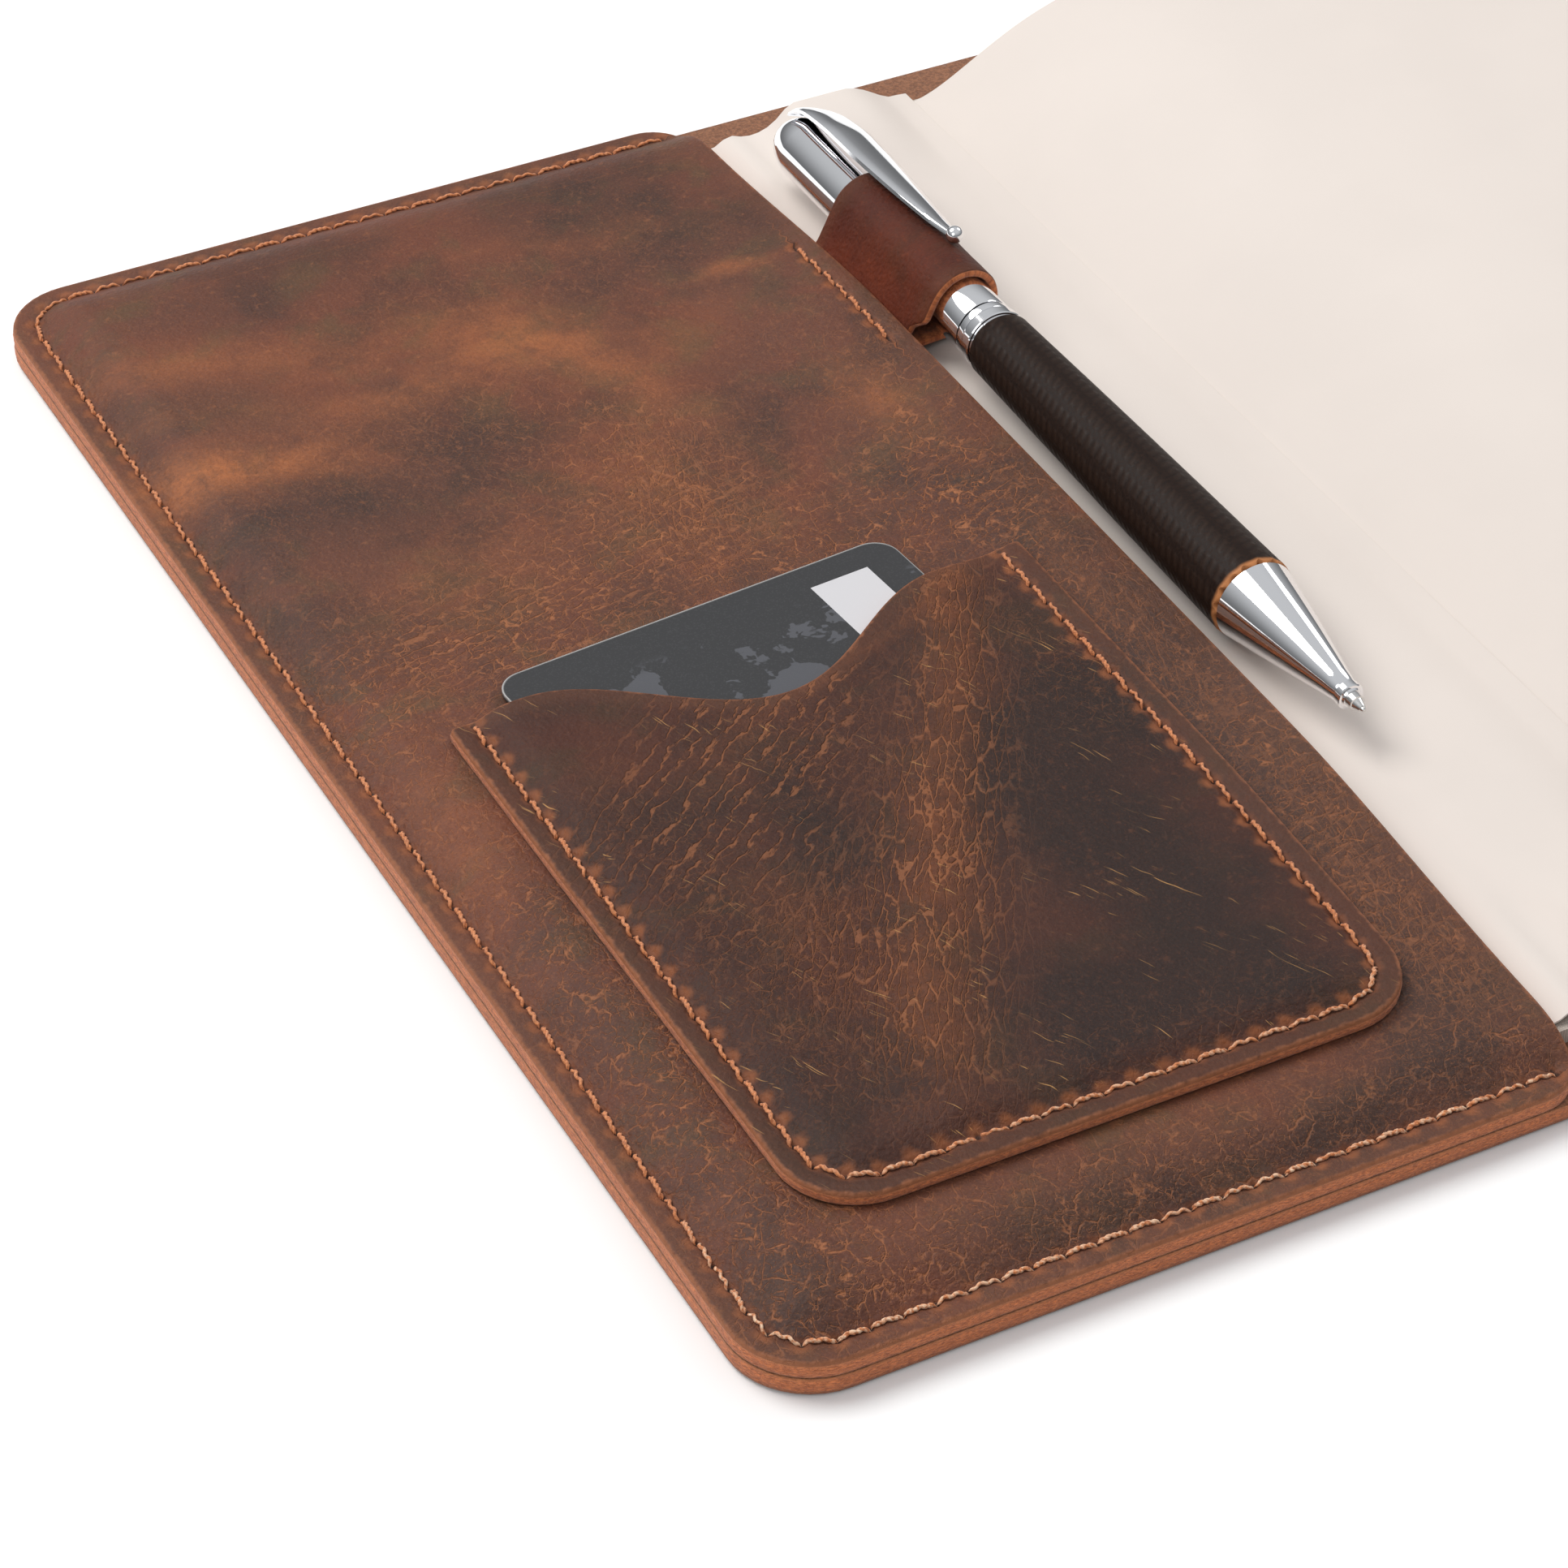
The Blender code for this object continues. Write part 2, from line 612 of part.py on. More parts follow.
def block_profile():
    """Section of the pages that lie on the back board and on the back flap."""
    free = HALF_WIDTH - FLAP_WIDTH
    fore = HALF_WIDTH - BOARD_INSET - BLOCK_INSET
    over_flap = FLAP_HIGH + LAYER_GAP
    step_start = 2.5  # the pages climb onto the flap between these distances from its free edge
    step_end = 0.6
    lip = 0.5  # least thickness of the pages over the hollow
    lip_run = 0.3
    hollow = []
    for step in range(0, 91, 6):
        limit = sweep_limit(step)
        x = FOLD_X + limit * math.cos(math.radians(step))
        z = HINGE_Z + limit * math.sin(math.radians(step))
        if z < BLOCK_LOW:
            continue
        if z > page_top(x) - lip:
            break
        hollow.append((x, z))
    start = hollow[-1][0] + lip_run
    outline = [(FOLD_X + sweep_limit(0), BLOCK_LOW), (free - step_start, BLOCK_LOW)]
    outline += [(free - step_end, over_flap), (fore, over_flap)]
    end = fore - FORE_EDGE_SLANT
    steps = 10
    for step in range(steps + 1):
        x = end + (start - end) * step / steps
        outline.append((x, page_top(x)))
    outline += list(reversed(hollow))
    return outline


# ---------------------------------------------------------------- pen loop and pen
def pen_loop(look):
    """The leather loop: a band round the pen whose tab is sewn under the flap's free edge."""
    near, far = plan_y(LOOP_NEAR), plan_y(LOOP_FAR)
    low = PAPER_HIGH + LAYER_GAP
    tab = front_x(FLAP_WIDTH - LOOP_TAB)
    high = low + LOOP_THICK
    root = front_x(FLAP_WIDTH)
    outline = [(tab, low)] + arc((PEN_X, PEN_Z), LOOP_OUTER, -90, LOOP_LEAN, 24)
    outline += [(root, high + LOOP_ROOT), (root - LOOP_ROOT_RUN, high), (tab, high)]
    hole = arc((PEN_X, PEN_Z), LOOP_INNER, 0, 345, 23)
    return extrusion("pen_loop", [outline, hole], near, far, look, smooth_angle=40)


def loop_seam(look):
    """The short line of thread that holds the loop's tab to the flap."""
    x = front_x(FLAP_WIDTH - SEAM_INSET)
    over = FLAP_THICK + LAYER_GAP + THREAD_RADIUS + SLOPE_GAP
    points = []
    steps = 8
    for step in range(steps + 1):
        y = plan_y(LOOP_NEAR + LOOP_SEAM_INSET + (LOOP_LENGTH - 2 * LOOP_SEAM_INSET) * step / steps)
        points.append((x, y, flap_under(FLAP_WIDTH - SEAM_INSET, y, FLAP_LIFT) + over))
    return thread("loop_seam", points, look)


def barrel_radius(along):
    """Outer radius of the leather on the barrel, a little bellied."""
    share = (along - BARREL_NEAR) / BARREL_LENGTH
    return BARREL_FAT + (BARREL_SLIM - BARREL_FAT) * share + BARREL_BELLY * math.sin(math.pi * share)


def pen_parts(chrome, brass, sleeve_look, ink):
    """The twist pen: everything but its clip."""
    cap_far = PEN_END - CAP_DOME
    ring_far = BARREL_FAR + SLIP + RING_LENGTH
    bore = CAP_RADIUS - CAP_WALL
    dome = arc((cap_far, 0), 1.0, 0, 90, 5)
    outer_dome = [(cap_far + CAP_DOME * (x - cap_far), CAP_RADIUS * y) for x, y in dome]
    outer_dome[0] = (PEN_END, 0.0)
    cap_near = ring_far + SLIP
    cap_profile = outer_dome + [
        (cap_near, CAP_RADIUS),
        (cap_near, bore),
        (cap_far - CAP_WALL, bore),
        (cap_far - CAP_WALL, 0.0),
    ]
    cap = turned("pen_cap", cap_profile, chrome)

    ring_near = BARREL_FAR + SLIP
    ring_out = CAP_RADIUS + RING_PROUD
    ring_in = REFILL_RADIUS + TUBE_WALL + SLIP
    ring = turned(
        "pen_center_ring",
        [
            (ring_near, ring_in),
            (ring_near, CAP_RADIUS),
            (ring_near + RING_BEVEL, ring_out),
            (ring_far - 2 * RING_BEVEL, ring_out),
            (ring_far - RING_BEVEL, CAP_RADIUS),
            (ring_far, CAP_RADIUS),
            (ring_far, ring_in),
        ],
        chrome,
    )

    mech_near = ring_far + SLIP
    mech_far = mech_near + MECHANISM_LENGTH
    mech_in = REFILL_RADIUS + SLIP
    mechanism = turned(
        "pen_twist_mechanism",
        [
            (mech_near, mech_in),
            (mech_near, MECHANISM_RADIUS),
            (mech_far, MECHANISM_RADIUS),
            (mech_far, 0.0),
            (mech_far - MECHANISM_END, 0.0),
            (mech_far - MECHANISM_END, mech_in),
        ],
        brass,
    )

    steps = 6
    outside = []
    for step in range(steps + 1):
        along = BARREL_NEAR + (BARREL_FAR - BARREL_NEAR) * step / steps
        outside.append((along, barrel_radius(along)))
    inside = [(along, radius - SLEEVE_THICK) for along, radius in reversed(outside)]
    sleeve = turned("pen_leather_sleeve", outside + inside, sleeve_look)

    tube_bore = REFILL_RADIUS + SLIP
    tube_out = [(along, radius - SLIP) for along, radius in reversed(inside)]
    tube = turned(
        "pen_barrel_tube",
        tube_out + [(BARREL_FAR, tube_bore), (BARREL_NEAR, tube_bore)],
        brass,
    )

    cone_base = BARREL_NEAR - SLIP
    cone_tip = PEN_TIP + REFILL_TIP
    neck_bore = REFILL_NECK + SLIP
    cone = turned(
        "pen_cone",
        [
            (cone_base, REFILL_RADIUS + SLIP),
            (cone_base, BARREL_FAT - CONE_STEP),
            (cone_tip + CONE_LIP + LIP_BEVEL, CONE_SMALL),
            (cone_tip + CONE_LIP, CONE_SMALL + LIP_PROUD),
            (cone_tip + LIP_BEVEL, CONE_SMALL + LIP_PROUD),
            (cone_tip, CONE_SMALL - CONE_STEP),
            (cone_tip, neck_bore),
            (cone_tip + CONE_NECK, neck_bore),
            (cone_tip + CONE_NECK + REFILL_SHOULDER, REFILL_RADIUS + SLIP),
        ],
        chrome,
    )

    shoulder = cone_tip + CONE_NECK + REFILL_SHOULDER / 2
    refill = turned(
        "pen_refill",
        [
            (PEN_TIP, 0.0),
            (PEN_TIP + BALL_RADIUS, BALL_RADIUS),
            (PEN_TIP + REFILL_TIP - LIP_BEVEL, REFILL_NECK),
            (shoulder, REFILL_NECK),
            (shoulder + REFILL_SHOULDER, REFILL_RADIUS),
            (PEN_TIP + REFILL_LENGTH, REFILL_RADIUS),
            (PEN_TIP + REFILL_LENGTH, 0.0),
        ],
        ink,
        steps=16,
    )
    return cap, ring, mechanism, sleeve, tube, cone, refill


def pen_clip(look):
    """The clip: a tapered strip from the cap's far end, over the loop, to a small ball."""
    over_cap = CAP_RADIUS + SLIP
    over_loop = LOOP_OUTER + CLIP_GAP
    ball = over_loop + CLIP_BALL
    stations = [
        (CLIP_FAR, over_cap, CLIP_ROOT_WIDTH * 0.72),
        (CLIP_FAR - CLIP_INSET, over_cap + CLIP_RISE * 0.7, CLIP_ROOT_WIDTH),
        (LOOP_FAR + CLIP_SHOULDER, over_cap + CLIP_RISE, CLIP_ROOT_WIDTH * 0.95),
        (LOOP_FAR + CLIP_STEP, over_loop, CLIP_ROOT_WIDTH * 0.82),
        ((LOOP_FAR + CLIP_NEAR) / 2, over_loop + CLIP_SPRING / 2, (CLIP_ROOT_WIDTH + CLIP_END_WIDTH) / 2),
        (CLIP_NEAR + CLIP_BALL / 2, over_loop + CLIP_SPRING, CLIP_END_WIDTH),
    ]
    edit = bmesh.new()
    rings = []
    for along, under, width in stations:
        half = width / 2
        crown = CLIP_CROWN * width
        section = [
            (-half, under - crown),
            (0.0, under),
            (half, under - crown),
            (half, under - crown + CLIP_THICK),
            (0.0, under + CLIP_THICK),
            (-half, under - crown + CLIP_THICK),
        ]
        rings.append([edit.verts.new((side, height, plan_y(along))) for side, height in section])
    for ring, following in zip(rings, rings[1:]):
        for index in range(len(ring)):
            other = (index + 1) % len(ring)
            edit.faces.new((ring[index], ring[other], following[other], following[index]))
    edit.faces.new(rings[0])
    edit.faces.new(rings[-1])
    bmesh.ops.recalc_face_normals(edit, faces=edit.faces)
    mesh = bpy.data.meshes.new("pen_clip")
    edit.to_mesh(mesh)
    edit.free()
    made = finish(mesh, "pen_clip", look)

    edit = bmesh.new()
    bmesh.ops.create_uvsphere(edit, u_segments=14, v_segments=8, radius=CLIP_BALL)
    bmesh.ops.translate(edit, verts=edit.verts, vec=(0, ball, plan_y(CLIP_NEAR)))
    bead = bpy.data.meshes.new("clip_ball")
    edit.to_mesh(bead)
    edit.free()
    cutter = finish(bead, "clip_ball", None, CUTTERS)
    cut(made, cutter, "UNION")

    # local X is the clip's width, local Y its height off the pen, local Z runs along the pen
    turn = math.radians(CLIP_ANGLE - 90)
    place = Matrix.Translation((PEN_X * MM, 0, PEN_Z * MM)) @ Matrix.Rotation(-turn, 4, "Y")
    stand = Matrix(((1, 0, 0, 0), (0, 0, 1, 0), (0, 1, 0, 0), (0, 0, 0, 1)))
    for piece in (made, cutter):
        piece.data.transform(place @ stand)
        piece.data.flip_normals()
    return made


# ---------------------------------------------------------------- assembly
def pivot(name, place, parent=None):
    """An empty on a joint's axis."""
    made = bpy.data.objects.new(name, None)
    made.empty_display_size = 0.01
    PARTS.objects.link(made)
    made.location = Vector(place) * MM
    bpy.context.view_layer.update()
    if parent is not None:
        attach(parent, made)
    return made


def attach(parent, *pieces):
    """Parent pieces without moving them."""
    bpy.context.view_layer.update()
    for piece in pieces:
        piece.parent = parent
        piece.matrix_parent_inverse = parent.matrix_world.inverted()
    bpy.context.view_layer.update()


def build():
    """Make every piece and hang it on its joint."""
    outer = material("outer_leather", OUTER_LEATHER, 0.55)
    inner = material("inner_leather", INNER_LEATHER, 0.55)
    pocket_look = material("pocket_leather", POCKET_LEATHER, 0.55)
    loop_look = material("loop_leather", LOOP_LEATHER, 0.55)
    stitch = material("stitching", THREAD, 0.7)
    grey_board = material("board", BOARD_GREY, 0.8)
    paper = material("paper", CREAM, 0.75)
    pages = material("pages", PAGE_EDGE, 0.8)
    card_look = material("card_plastic", CARD_GREY, 0.35)
    chrome = material("chrome", CHROME, 0.08, 1.0)
    brass = material("brass", BRASS, 0.3, 1.0)
    sleeve_look = material("sleeve_leather", SLEEVE_LEATHER, 0.6)
    steel = material("refill_steel", STEEL, 0.25, 1.0)

    spine_pivot = pivot("spine_fold_axis", (FOLD_X, 0, HINGE_Z))
    front_pivot = pivot("front_fold_axis", (-FOLD_X, 0, HINGE_Z), spine_pivot)
    front_panel, spine_panel, _ = cover_panels(outer)

    flap("back_flap", 1, 0.0, inner)
    border_seam("back_seam", 1, stitch)
    board("notebook_back_board", 1, grey_board)
    endpaper("back_endpaper", 1, paper)
    extrusion("text_block", [block_profile()], -BLOCK_HALF, BLOCK_HALF, pages)

    gutter = extrusion("text_block_gutter", [gutter_profile()], -BLOCK_HALF, BLOCK_HALF, pages)
    attach(spine_pivot, spine_panel, notebook_spine(grey_board), gutter)

    front = [
        front_panel,
        flap("front_flap", -1, FLAP_LIFT, inner),
        border_seam("front_seam", -1, stitch),
        card_pocket(pocket_look),
        pocket_seam(stitch),
        pen_loop(loop_look),
        loop_seam(stitch),
        board("notebook_front_board", -1, grey_board),
        endpaper("front_endpaper", -1, paper),
    ]
    attach(front_pivot, *front)

    corner = (front_x(CARD_LEFT), plan_y(CARD_FAR), CARD_LOW)
    card_slide = pivot("card_slide_axis", corner, front_pivot)
    attach(card_slide, card(card_look))

    cap, ring, mechanism, sleeve, tube, cone, refill = pen_parts(chrome, brass, sleeve_look, steel)
    pen_slide = pivot("pen_slide_axis", (PEN_X, plan_y(PEN_END), PEN_Z), front_pivot)
    barrel_twist = pivot("barrel_twist_axis", (PEN_X, plan_y(BARREL_FAR), PEN_Z), pen_slide)
    clip_turn = math.radians(CLIP_ANGLE)
    clip_root = (
        PEN_X + CAP_RADIUS * math.cos(clip_turn),
        plan_y(CLIP_FAR),
        PEN_Z + CAP_RADIUS * math.sin(clip_turn),
    )
    clip_flex = pivot("clip_flex_axis", clip_root, pen_slide)
    attach(pen_slide, cap, ring, mechanism)
    attach(barrel_twist, sleeve, tube, cone)
    attach(barrel_twist, refill)
    attach(clip_flex, pen_clip(chrome))


build()
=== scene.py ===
"""Looks of the leather notebook cover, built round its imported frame.

Plans and heights are in millimetres, in the frame's axes (X across, Y along the spine, Z up),
and become metres when a mesh is made.
"""
import json
import math

import bmesh
import bpy
import numpy as np
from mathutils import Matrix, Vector
from mathutils.geometry import delaunay_2d_cdt


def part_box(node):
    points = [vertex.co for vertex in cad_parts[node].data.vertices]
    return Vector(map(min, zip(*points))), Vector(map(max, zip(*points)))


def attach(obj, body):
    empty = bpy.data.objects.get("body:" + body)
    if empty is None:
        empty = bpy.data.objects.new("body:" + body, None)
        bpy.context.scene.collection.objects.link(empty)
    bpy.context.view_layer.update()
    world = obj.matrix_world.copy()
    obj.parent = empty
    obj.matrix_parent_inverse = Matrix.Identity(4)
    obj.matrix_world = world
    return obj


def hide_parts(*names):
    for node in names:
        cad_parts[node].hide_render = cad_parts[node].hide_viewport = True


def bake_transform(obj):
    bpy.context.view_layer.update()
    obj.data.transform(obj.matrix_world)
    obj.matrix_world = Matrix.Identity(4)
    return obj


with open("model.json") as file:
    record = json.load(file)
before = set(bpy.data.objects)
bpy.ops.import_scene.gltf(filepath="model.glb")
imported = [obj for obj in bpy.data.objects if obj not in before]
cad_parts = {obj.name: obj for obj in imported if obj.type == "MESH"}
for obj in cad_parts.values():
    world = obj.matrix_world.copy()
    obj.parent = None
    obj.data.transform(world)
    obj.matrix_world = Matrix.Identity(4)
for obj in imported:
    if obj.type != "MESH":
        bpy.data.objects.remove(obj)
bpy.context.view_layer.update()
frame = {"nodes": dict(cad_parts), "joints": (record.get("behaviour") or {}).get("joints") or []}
MM = 0.001


# ---------------------------------------------------------------- places read from the frame
def box(node):
    """Lowest and highest corner of a CAD node, in millimetres."""
    low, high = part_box(node)
    return np.array(low) / MM, np.array(high) / MM


def joint(name):
    """A joint of the record by its name."""
    return next(entry for entry in frame["joints"] if entry["name"] == name)


COVER_LOW, COVER_HIGH = box("cover_front_panel")
HALF_WIDTH = -COVER_LOW[0]
HALF_LENGTH = COVER_HIGH[1]
FOLD_X = joint("spine_fold")["pos_m"][0] / MM
PAPER_TOP = joint("spine_fold")["pos_m"][2] / MM
BOARD_LOW, _ = box("notebook_front_board")
FLAP_LOW, FLAP_HIGH = box("front_flap")
FREE_X = -FLAP_HIGH[0]
POCKET_LOW, POCKET_HIGH = box("card_pocket")
CARD_LOW, CARD_HIGH = box("card")
LOOP_LOW, LOOP_HIGH = box("pen_loop")
RING_LOW, RING_HIGH = box("pen_center_ring")
CAP_LOW, CAP_HIGH = box("pen_cap")
SLEEVE_LOW, SLEEVE_HIGH = box("pen_leather_sleeve")
CONE_LOW, CONE_HIGH = box("pen_cone")
REFILL_LOW, REFILL_HIGH = box("pen_refill")
CLIP_LOW, _ = box("pen_clip")
BLOCK_LOW, BLOCK_HIGH = box("text_block")
PEN_X = (CAP_LOW[0] + CAP_HIGH[0]) / 2
PEN_Z = (CAP_LOW[2] + CAP_HIGH[2]) / 2
CAP_RADIUS = (CAP_HIGH[0] - CAP_LOW[0]) / 2
SLEEVE_RADIUS = (SLEEVE_HIGH[0] - SLEEVE_LOW[0]) / 2
PEN_CLEAR = SLEEVE_RADIUS + 0.4  # what the sliding pen needs round its axis

# ---------------------------------------------------------------- sizes of the soft parts
FLAP_THICK = 2.1
POCKET_THICK = 1.6
LOOP_THICK = 1.1
CORNER_RADIUS = 9.5
FLAP_CORNER_RADIUS = 6.0
POCKET_RADIUS = 9.0
MOUTH_RADIUS = 0.8  # at the pocket's far corners
SEWN_RIM = 3.2  # flap and cover lie together out to here
RIM_RAMP = 3.6  # and the flap climbs onto the board over about twice this width
FLAP_LIFT = 3.2  # the pen loop holds the flap's free edge up
LIFT_BAND = 26.0
LIFT_END = 8.0
LIFT_RUN = 54.0
SEAM_INSET = 3.0
POCKET_SEAM_INSET = 2.8
STITCH_PITCH = 3.75
LEATHER_GAP = 0.2
PLY_RADIUS = 0.20  # the thread has two plies
THREAD_TWIST = 2.6  # turns to a stitch
THREAD_SINK = 0.5  # how far a stitch dives into its holes
THREAD_RISE = 0.22  # and stands over the leather between them
STITCH_SLANT = 0.16
NOTCH_WIDTH = 54.0
NOTCH_DEPTH = 13.0
NOTCH_SHIFT = -0.5
CARD_WIDTH = 53.98
CARD_HEIGHT = 85.6
CARD_RADIUS = 3.18
CARD_TILT = math.radians(4.8)
CLIP_ANGLE = math.radians(66.0)  # where the clip sits round the pen, from X towards Z
CLIP_THICK = 0.95
BALL_RADIUS = 1.15
PAPER_THICK = 0.25
PAGE_SLOPE = 0.75  # of the first page once it has left the gutter
GUTTER_SOFTNESS = 5.0
FORE_EDGE_SLANT = 10.0  # how far the top pages are drawn back towards the gutter
SHEET_LIFT = 1.0  # the first leaf stands off its board by this much under the pen
SHEET_END_LIFT = 4.2  # and by this much at its ends
WORLD_HORIZON = 0.16
WORLD_ZENITH = 0.60
CAMERA_LENS = 113.34
CAMERA_PLACE = Vector((-0.2979, -0.4159, 0.3552))  # in metres
CAMERA_TARGET = Vector((-0.09304, -0.02075, 0.0))


# ---------------------------------------------------------------- numbers
def smooth(value):
    """0 below 0, 1 above 1 and an even S between."""
    value = np.clip(value, 0.0, 1.0)
    return value * value * (3 - 2 * value)


def noise(plan, size, seed):
    """Smooth value noise from -1 to 1 over points in plan, with cells of the given size."""
    table = np.random.default_rng(seed).uniform(-1, 1, (64, 64))
    cell = plan[:, :2] / size
    corner = np.floor(cell).astype(int)
    share = cell - corner
    share = share * share * (3 - 2 * share)
    x0, y0 = corner[:, 0] % 64, corner[:, 1] % 64
    x1, y1 = (x0 + 1) % 64, (y0 + 1) % 64
    near = table[x0, y0] * (1 - share[:, 0]) + table[x1, y0] * share[:, 0]
    far = table[x0, y1] * (1 - share[:, 0]) + table[x1, y1] * share[:, 0]
    return near * (1 - share[:, 1]) + far * share[:, 1]


def rough(plan, size, seed, octaves=3):
    """Noise with finer noise on top of it."""
    return sum(noise(plan, size / 2**step, seed + step) / 2**step for step in range(octaves)) / 1.6


def mark(plan, x, y, long, wide, angle):
    """A soft elongated spot, 1 at its centre."""
    turn = math.radians(angle)
    dx, dy = plan[:, 0] - x, plan[:, 1] - y
    along = (dx * math.cos(turn) + dy * math.sin(turn)) / long
    across = (dy * math.cos(turn) - dx * math.sin(turn)) / wide
    return np.exp(-(along**2 + across**2))


def marks(plan, table, wander=3.0, seed=5):
    """The sum of many soft spots with ragged borders."""
    drift = np.stack([rough(plan, 9.0, seed), rough(plan, 9.0, seed + 9)], axis=1) * wander
    total = np.zeros(len(plan))
    for x, y, long, wide, angle, strength in table:
        total += strength * mark(plan[:, :2] + drift, x, y, long, wide, angle)
    return total


# ---------------------------------------------------------------- outlines and paths
def arc(center, radius, start, end, steps=10):
    """Points on a circle, angles in degrees, both ends included."""
    turn = np.radians(np.linspace(start, end, steps + 1))
    return np.stack([center[0] + radius * np.cos(turn), center[1] + radius * np.sin(turn)], axis=1)


def rounded_rectangle(x0, y0, x1, y1, radii):
    """Outline with its own radius at each corner, from near left round to far left."""
    a, b, c, d = radii
    return np.vstack(
        [
            arc((x0 + a, y0 + a), a, 180, 270),
            arc((x1 - b, y0 + b), b, 270, 360),
            arc((x1 - c, y1 - c), c, 0, 90),
            arc((x0 + d, y1 - d), d, 90, 180),
        ]
    )


def subdivide(line, step, closed=True):
    """The same line with no stretch longer than step."""
    ends = np.roll(line, -1, axis=0) if closed else line[1:]
    points = []
    for start, end in zip(line, ends):
        count = max(1, int(math.ceil(np.linalg.norm(end - start) / step)))
        points += [start + (end - start) * index / count for index in range(count)]
    if not closed:
        points.append(line[-1])
    return np.array(points)


def nearest(plan, line, closed):
    """Distance to a line, length along it and side of it (left is positive) for each point."""
    ends = np.roll(line, -1, axis=0) if closed else line[1:]
    starts = line if closed else line[:-1]
    span = ends - starts
    length = np.linalg.norm(span, axis=1)
    before = np.concatenate([[0], np.cumsum(length)[:-1]])
    distance = np.empty(len(plan))
    along = np.empty(len(plan))
    side = np.empty(len(plan))
    for first in range(0, len(plan), 2000):
        chunk = plan[first : first + 2000, None, :2]
        offset = chunk - starts
        share = np.clip((offset * span).sum(2) / np.maximum(length**2, 1e-12), 0, 1)
        gap = offset - share[..., None] * span
        squared = (gap**2).sum(2)
        best = squared.argmin(1)
        row = np.arange(len(best))
        distance[first : first + 2000] = np.sqrt(squared[row, best])
        along[first : first + 2000] = before[best] + share[row, best] * length[best]
        turn = span[best, 0] * gap[row, best, 1] - span[best, 1] * gap[row, best, 0]
        side[first : first + 2000] = np.sign(turn)
    return distance, along, side


def inside(plan, outline):
    """Which points lie inside a closed outline."""
    result = np.zeros(len(plan), bool)
    for (ax, ay), (bx, by) in zip(outline, np.roll(outline, -1, axis=0)):
        if ay == by:
            continue
        crosses = (plan[:, 1] < ay) != (plan[:, 1] < by)
        result ^= crosses & (plan[:, 0] < ax + (plan[:, 1] - ay) / (by - ay) * (bx - ax))
    return result


class Seam:
    """A line of holes at an even pitch along a path in plan."""

    def __init__(self, path, pitch=STITCH_PITCH):
        length = np.linalg.norm(np.diff(path, axis=0), axis=1).sum()
        self.path = path
        self.count = int(round(length / pitch))
        self.pitch = length / self.count
        self.holes = self.at(np.arange(self.count + 1.0))

    def at(self, places, aside=0.0):
        """Points along the path, in stitches from its start, and aside to its left in millimetres."""
        span = np.diff(self.path, axis=0)
        length = np.linalg.norm(span, axis=1)
        ends = np.concatenate([[0], np.cumsum(length)])
        along = np.clip(np.asarray(places) * self.pitch, 0, ends[-1] - 1e-9)
        index = np.clip(np.searchsorted(ends, along, side="right") - 1, 0, len(length) - 1)
        unit = span[index] / length[index, None]
        left = np.stack([-unit[:, 1], unit[:, 0]], axis=1)
        return self.path[index] + unit * (along - ends[index])[:, None] + left * aside

    def stencil(self):
        """Extra points that let a mesh carry each hole and the groove between holes."""
        points = [self.holes]
        for radius, count in ((0.36, 6), (0.85, 8)):
            ring = arc((0, 0), radius, 0, 360, count)[:-1]
            points.append((self.holes[:, None, :] + ring[None]).reshape(-1, 2))
        between = np.arange(self.count)
        for share in (0.34, 0.5, 0.66):
            for aside in (-0.95, -0.42, 0.0, 0.42, 0.95):
                points.append(self.at(between + share, aside))
        return np.vstack(points)

    def measure(self, plan):
        """Place along the seam in stitches, and distance from it, for each point."""
        distance, along, side = nearest(plan, self.path, False)
        return along / self.pitch, distance * side

    def dent(self, places, aside):
        """How far the thread pulls the leather down."""
        from_hole = (places - np.round(places)) * self.pitch
        groove = 0.2 * np.exp(-((aside / 0.45) ** 2))
        hole = 0.42 * np.exp(-(from_hole**2 + aside**2) / 0.38**2)
        pull = 0.14 * np.exp(-(from_hole**2 + aside**2) / 1.3**2)
        return groove + hole + pull


# ---------------------------------------------------------------- meshes
def new_object(name, points, faces, looks, slots=None, sharp=None):
    """An object in metres from points in millimetres."""
    mesh = bpy.data.meshes.new(name)
    mesh.from_pydata((np.asarray(points) * MM).tolist(), [], faces)
    for look in looks:
        mesh.materials.append(look)
    if slots is not None:
        mesh.polygons.foreach_set("material_index", np.asarray(slots, np.int32))
    mesh.shade_smooth()
    if sharp is not None:
        mesh.set_sharp_from_angle(angle=math.radians(sharp))
    made = bpy.data.objects.new(name, mesh)
    bpy.context.scene.collection.objects.link(made)
    add_attribute(made, "rest", np.asarray(points, float))
    return made


def ring_faces(rows, count):
    """Quads between rings of count points, each joined to the next, and the two end faces."""
    faces = []
    for row in range(rows - 1):
        for corner in range(count):
            other = (corner + 1) % count
            first, second = row * count, (row + 1) * count
            faces.append([first + corner, first + other, second + other, second + corner])
    return faces + [list(range(count)), list(range((rows - 1) * count, rows * count))]


def add_attribute(piece, name, values):
    """A number, or a vector, kept at each vertex for the materials to read."""
    values = np.asarray(values, np.float32)
    kind, field = ("FLOAT_VECTOR", "vector") if values.ndim == 2 else ("FLOAT", "value")
    layer = piece.data.attributes.new(name, kind, "POINT")
    layer.data.foreach_set(field, values.ravel())


def fill(outline, points):
    """Triangles over an outline and the points inside it; the outline's points come first."""
    flat = np.vstack([outline, points])
    count = len(outline)
    edges = [(index, (index + 1) % count) for index in range(count)]
    plan = [Vector(point) for point in flat.tolist()]
    _, _, faces, sources, _, _ = delaunay_2d_cdt(plan, edges, [], 1, 1e-5)
    return flat, [[sources[corner][0] for corner in face] for face in faces]


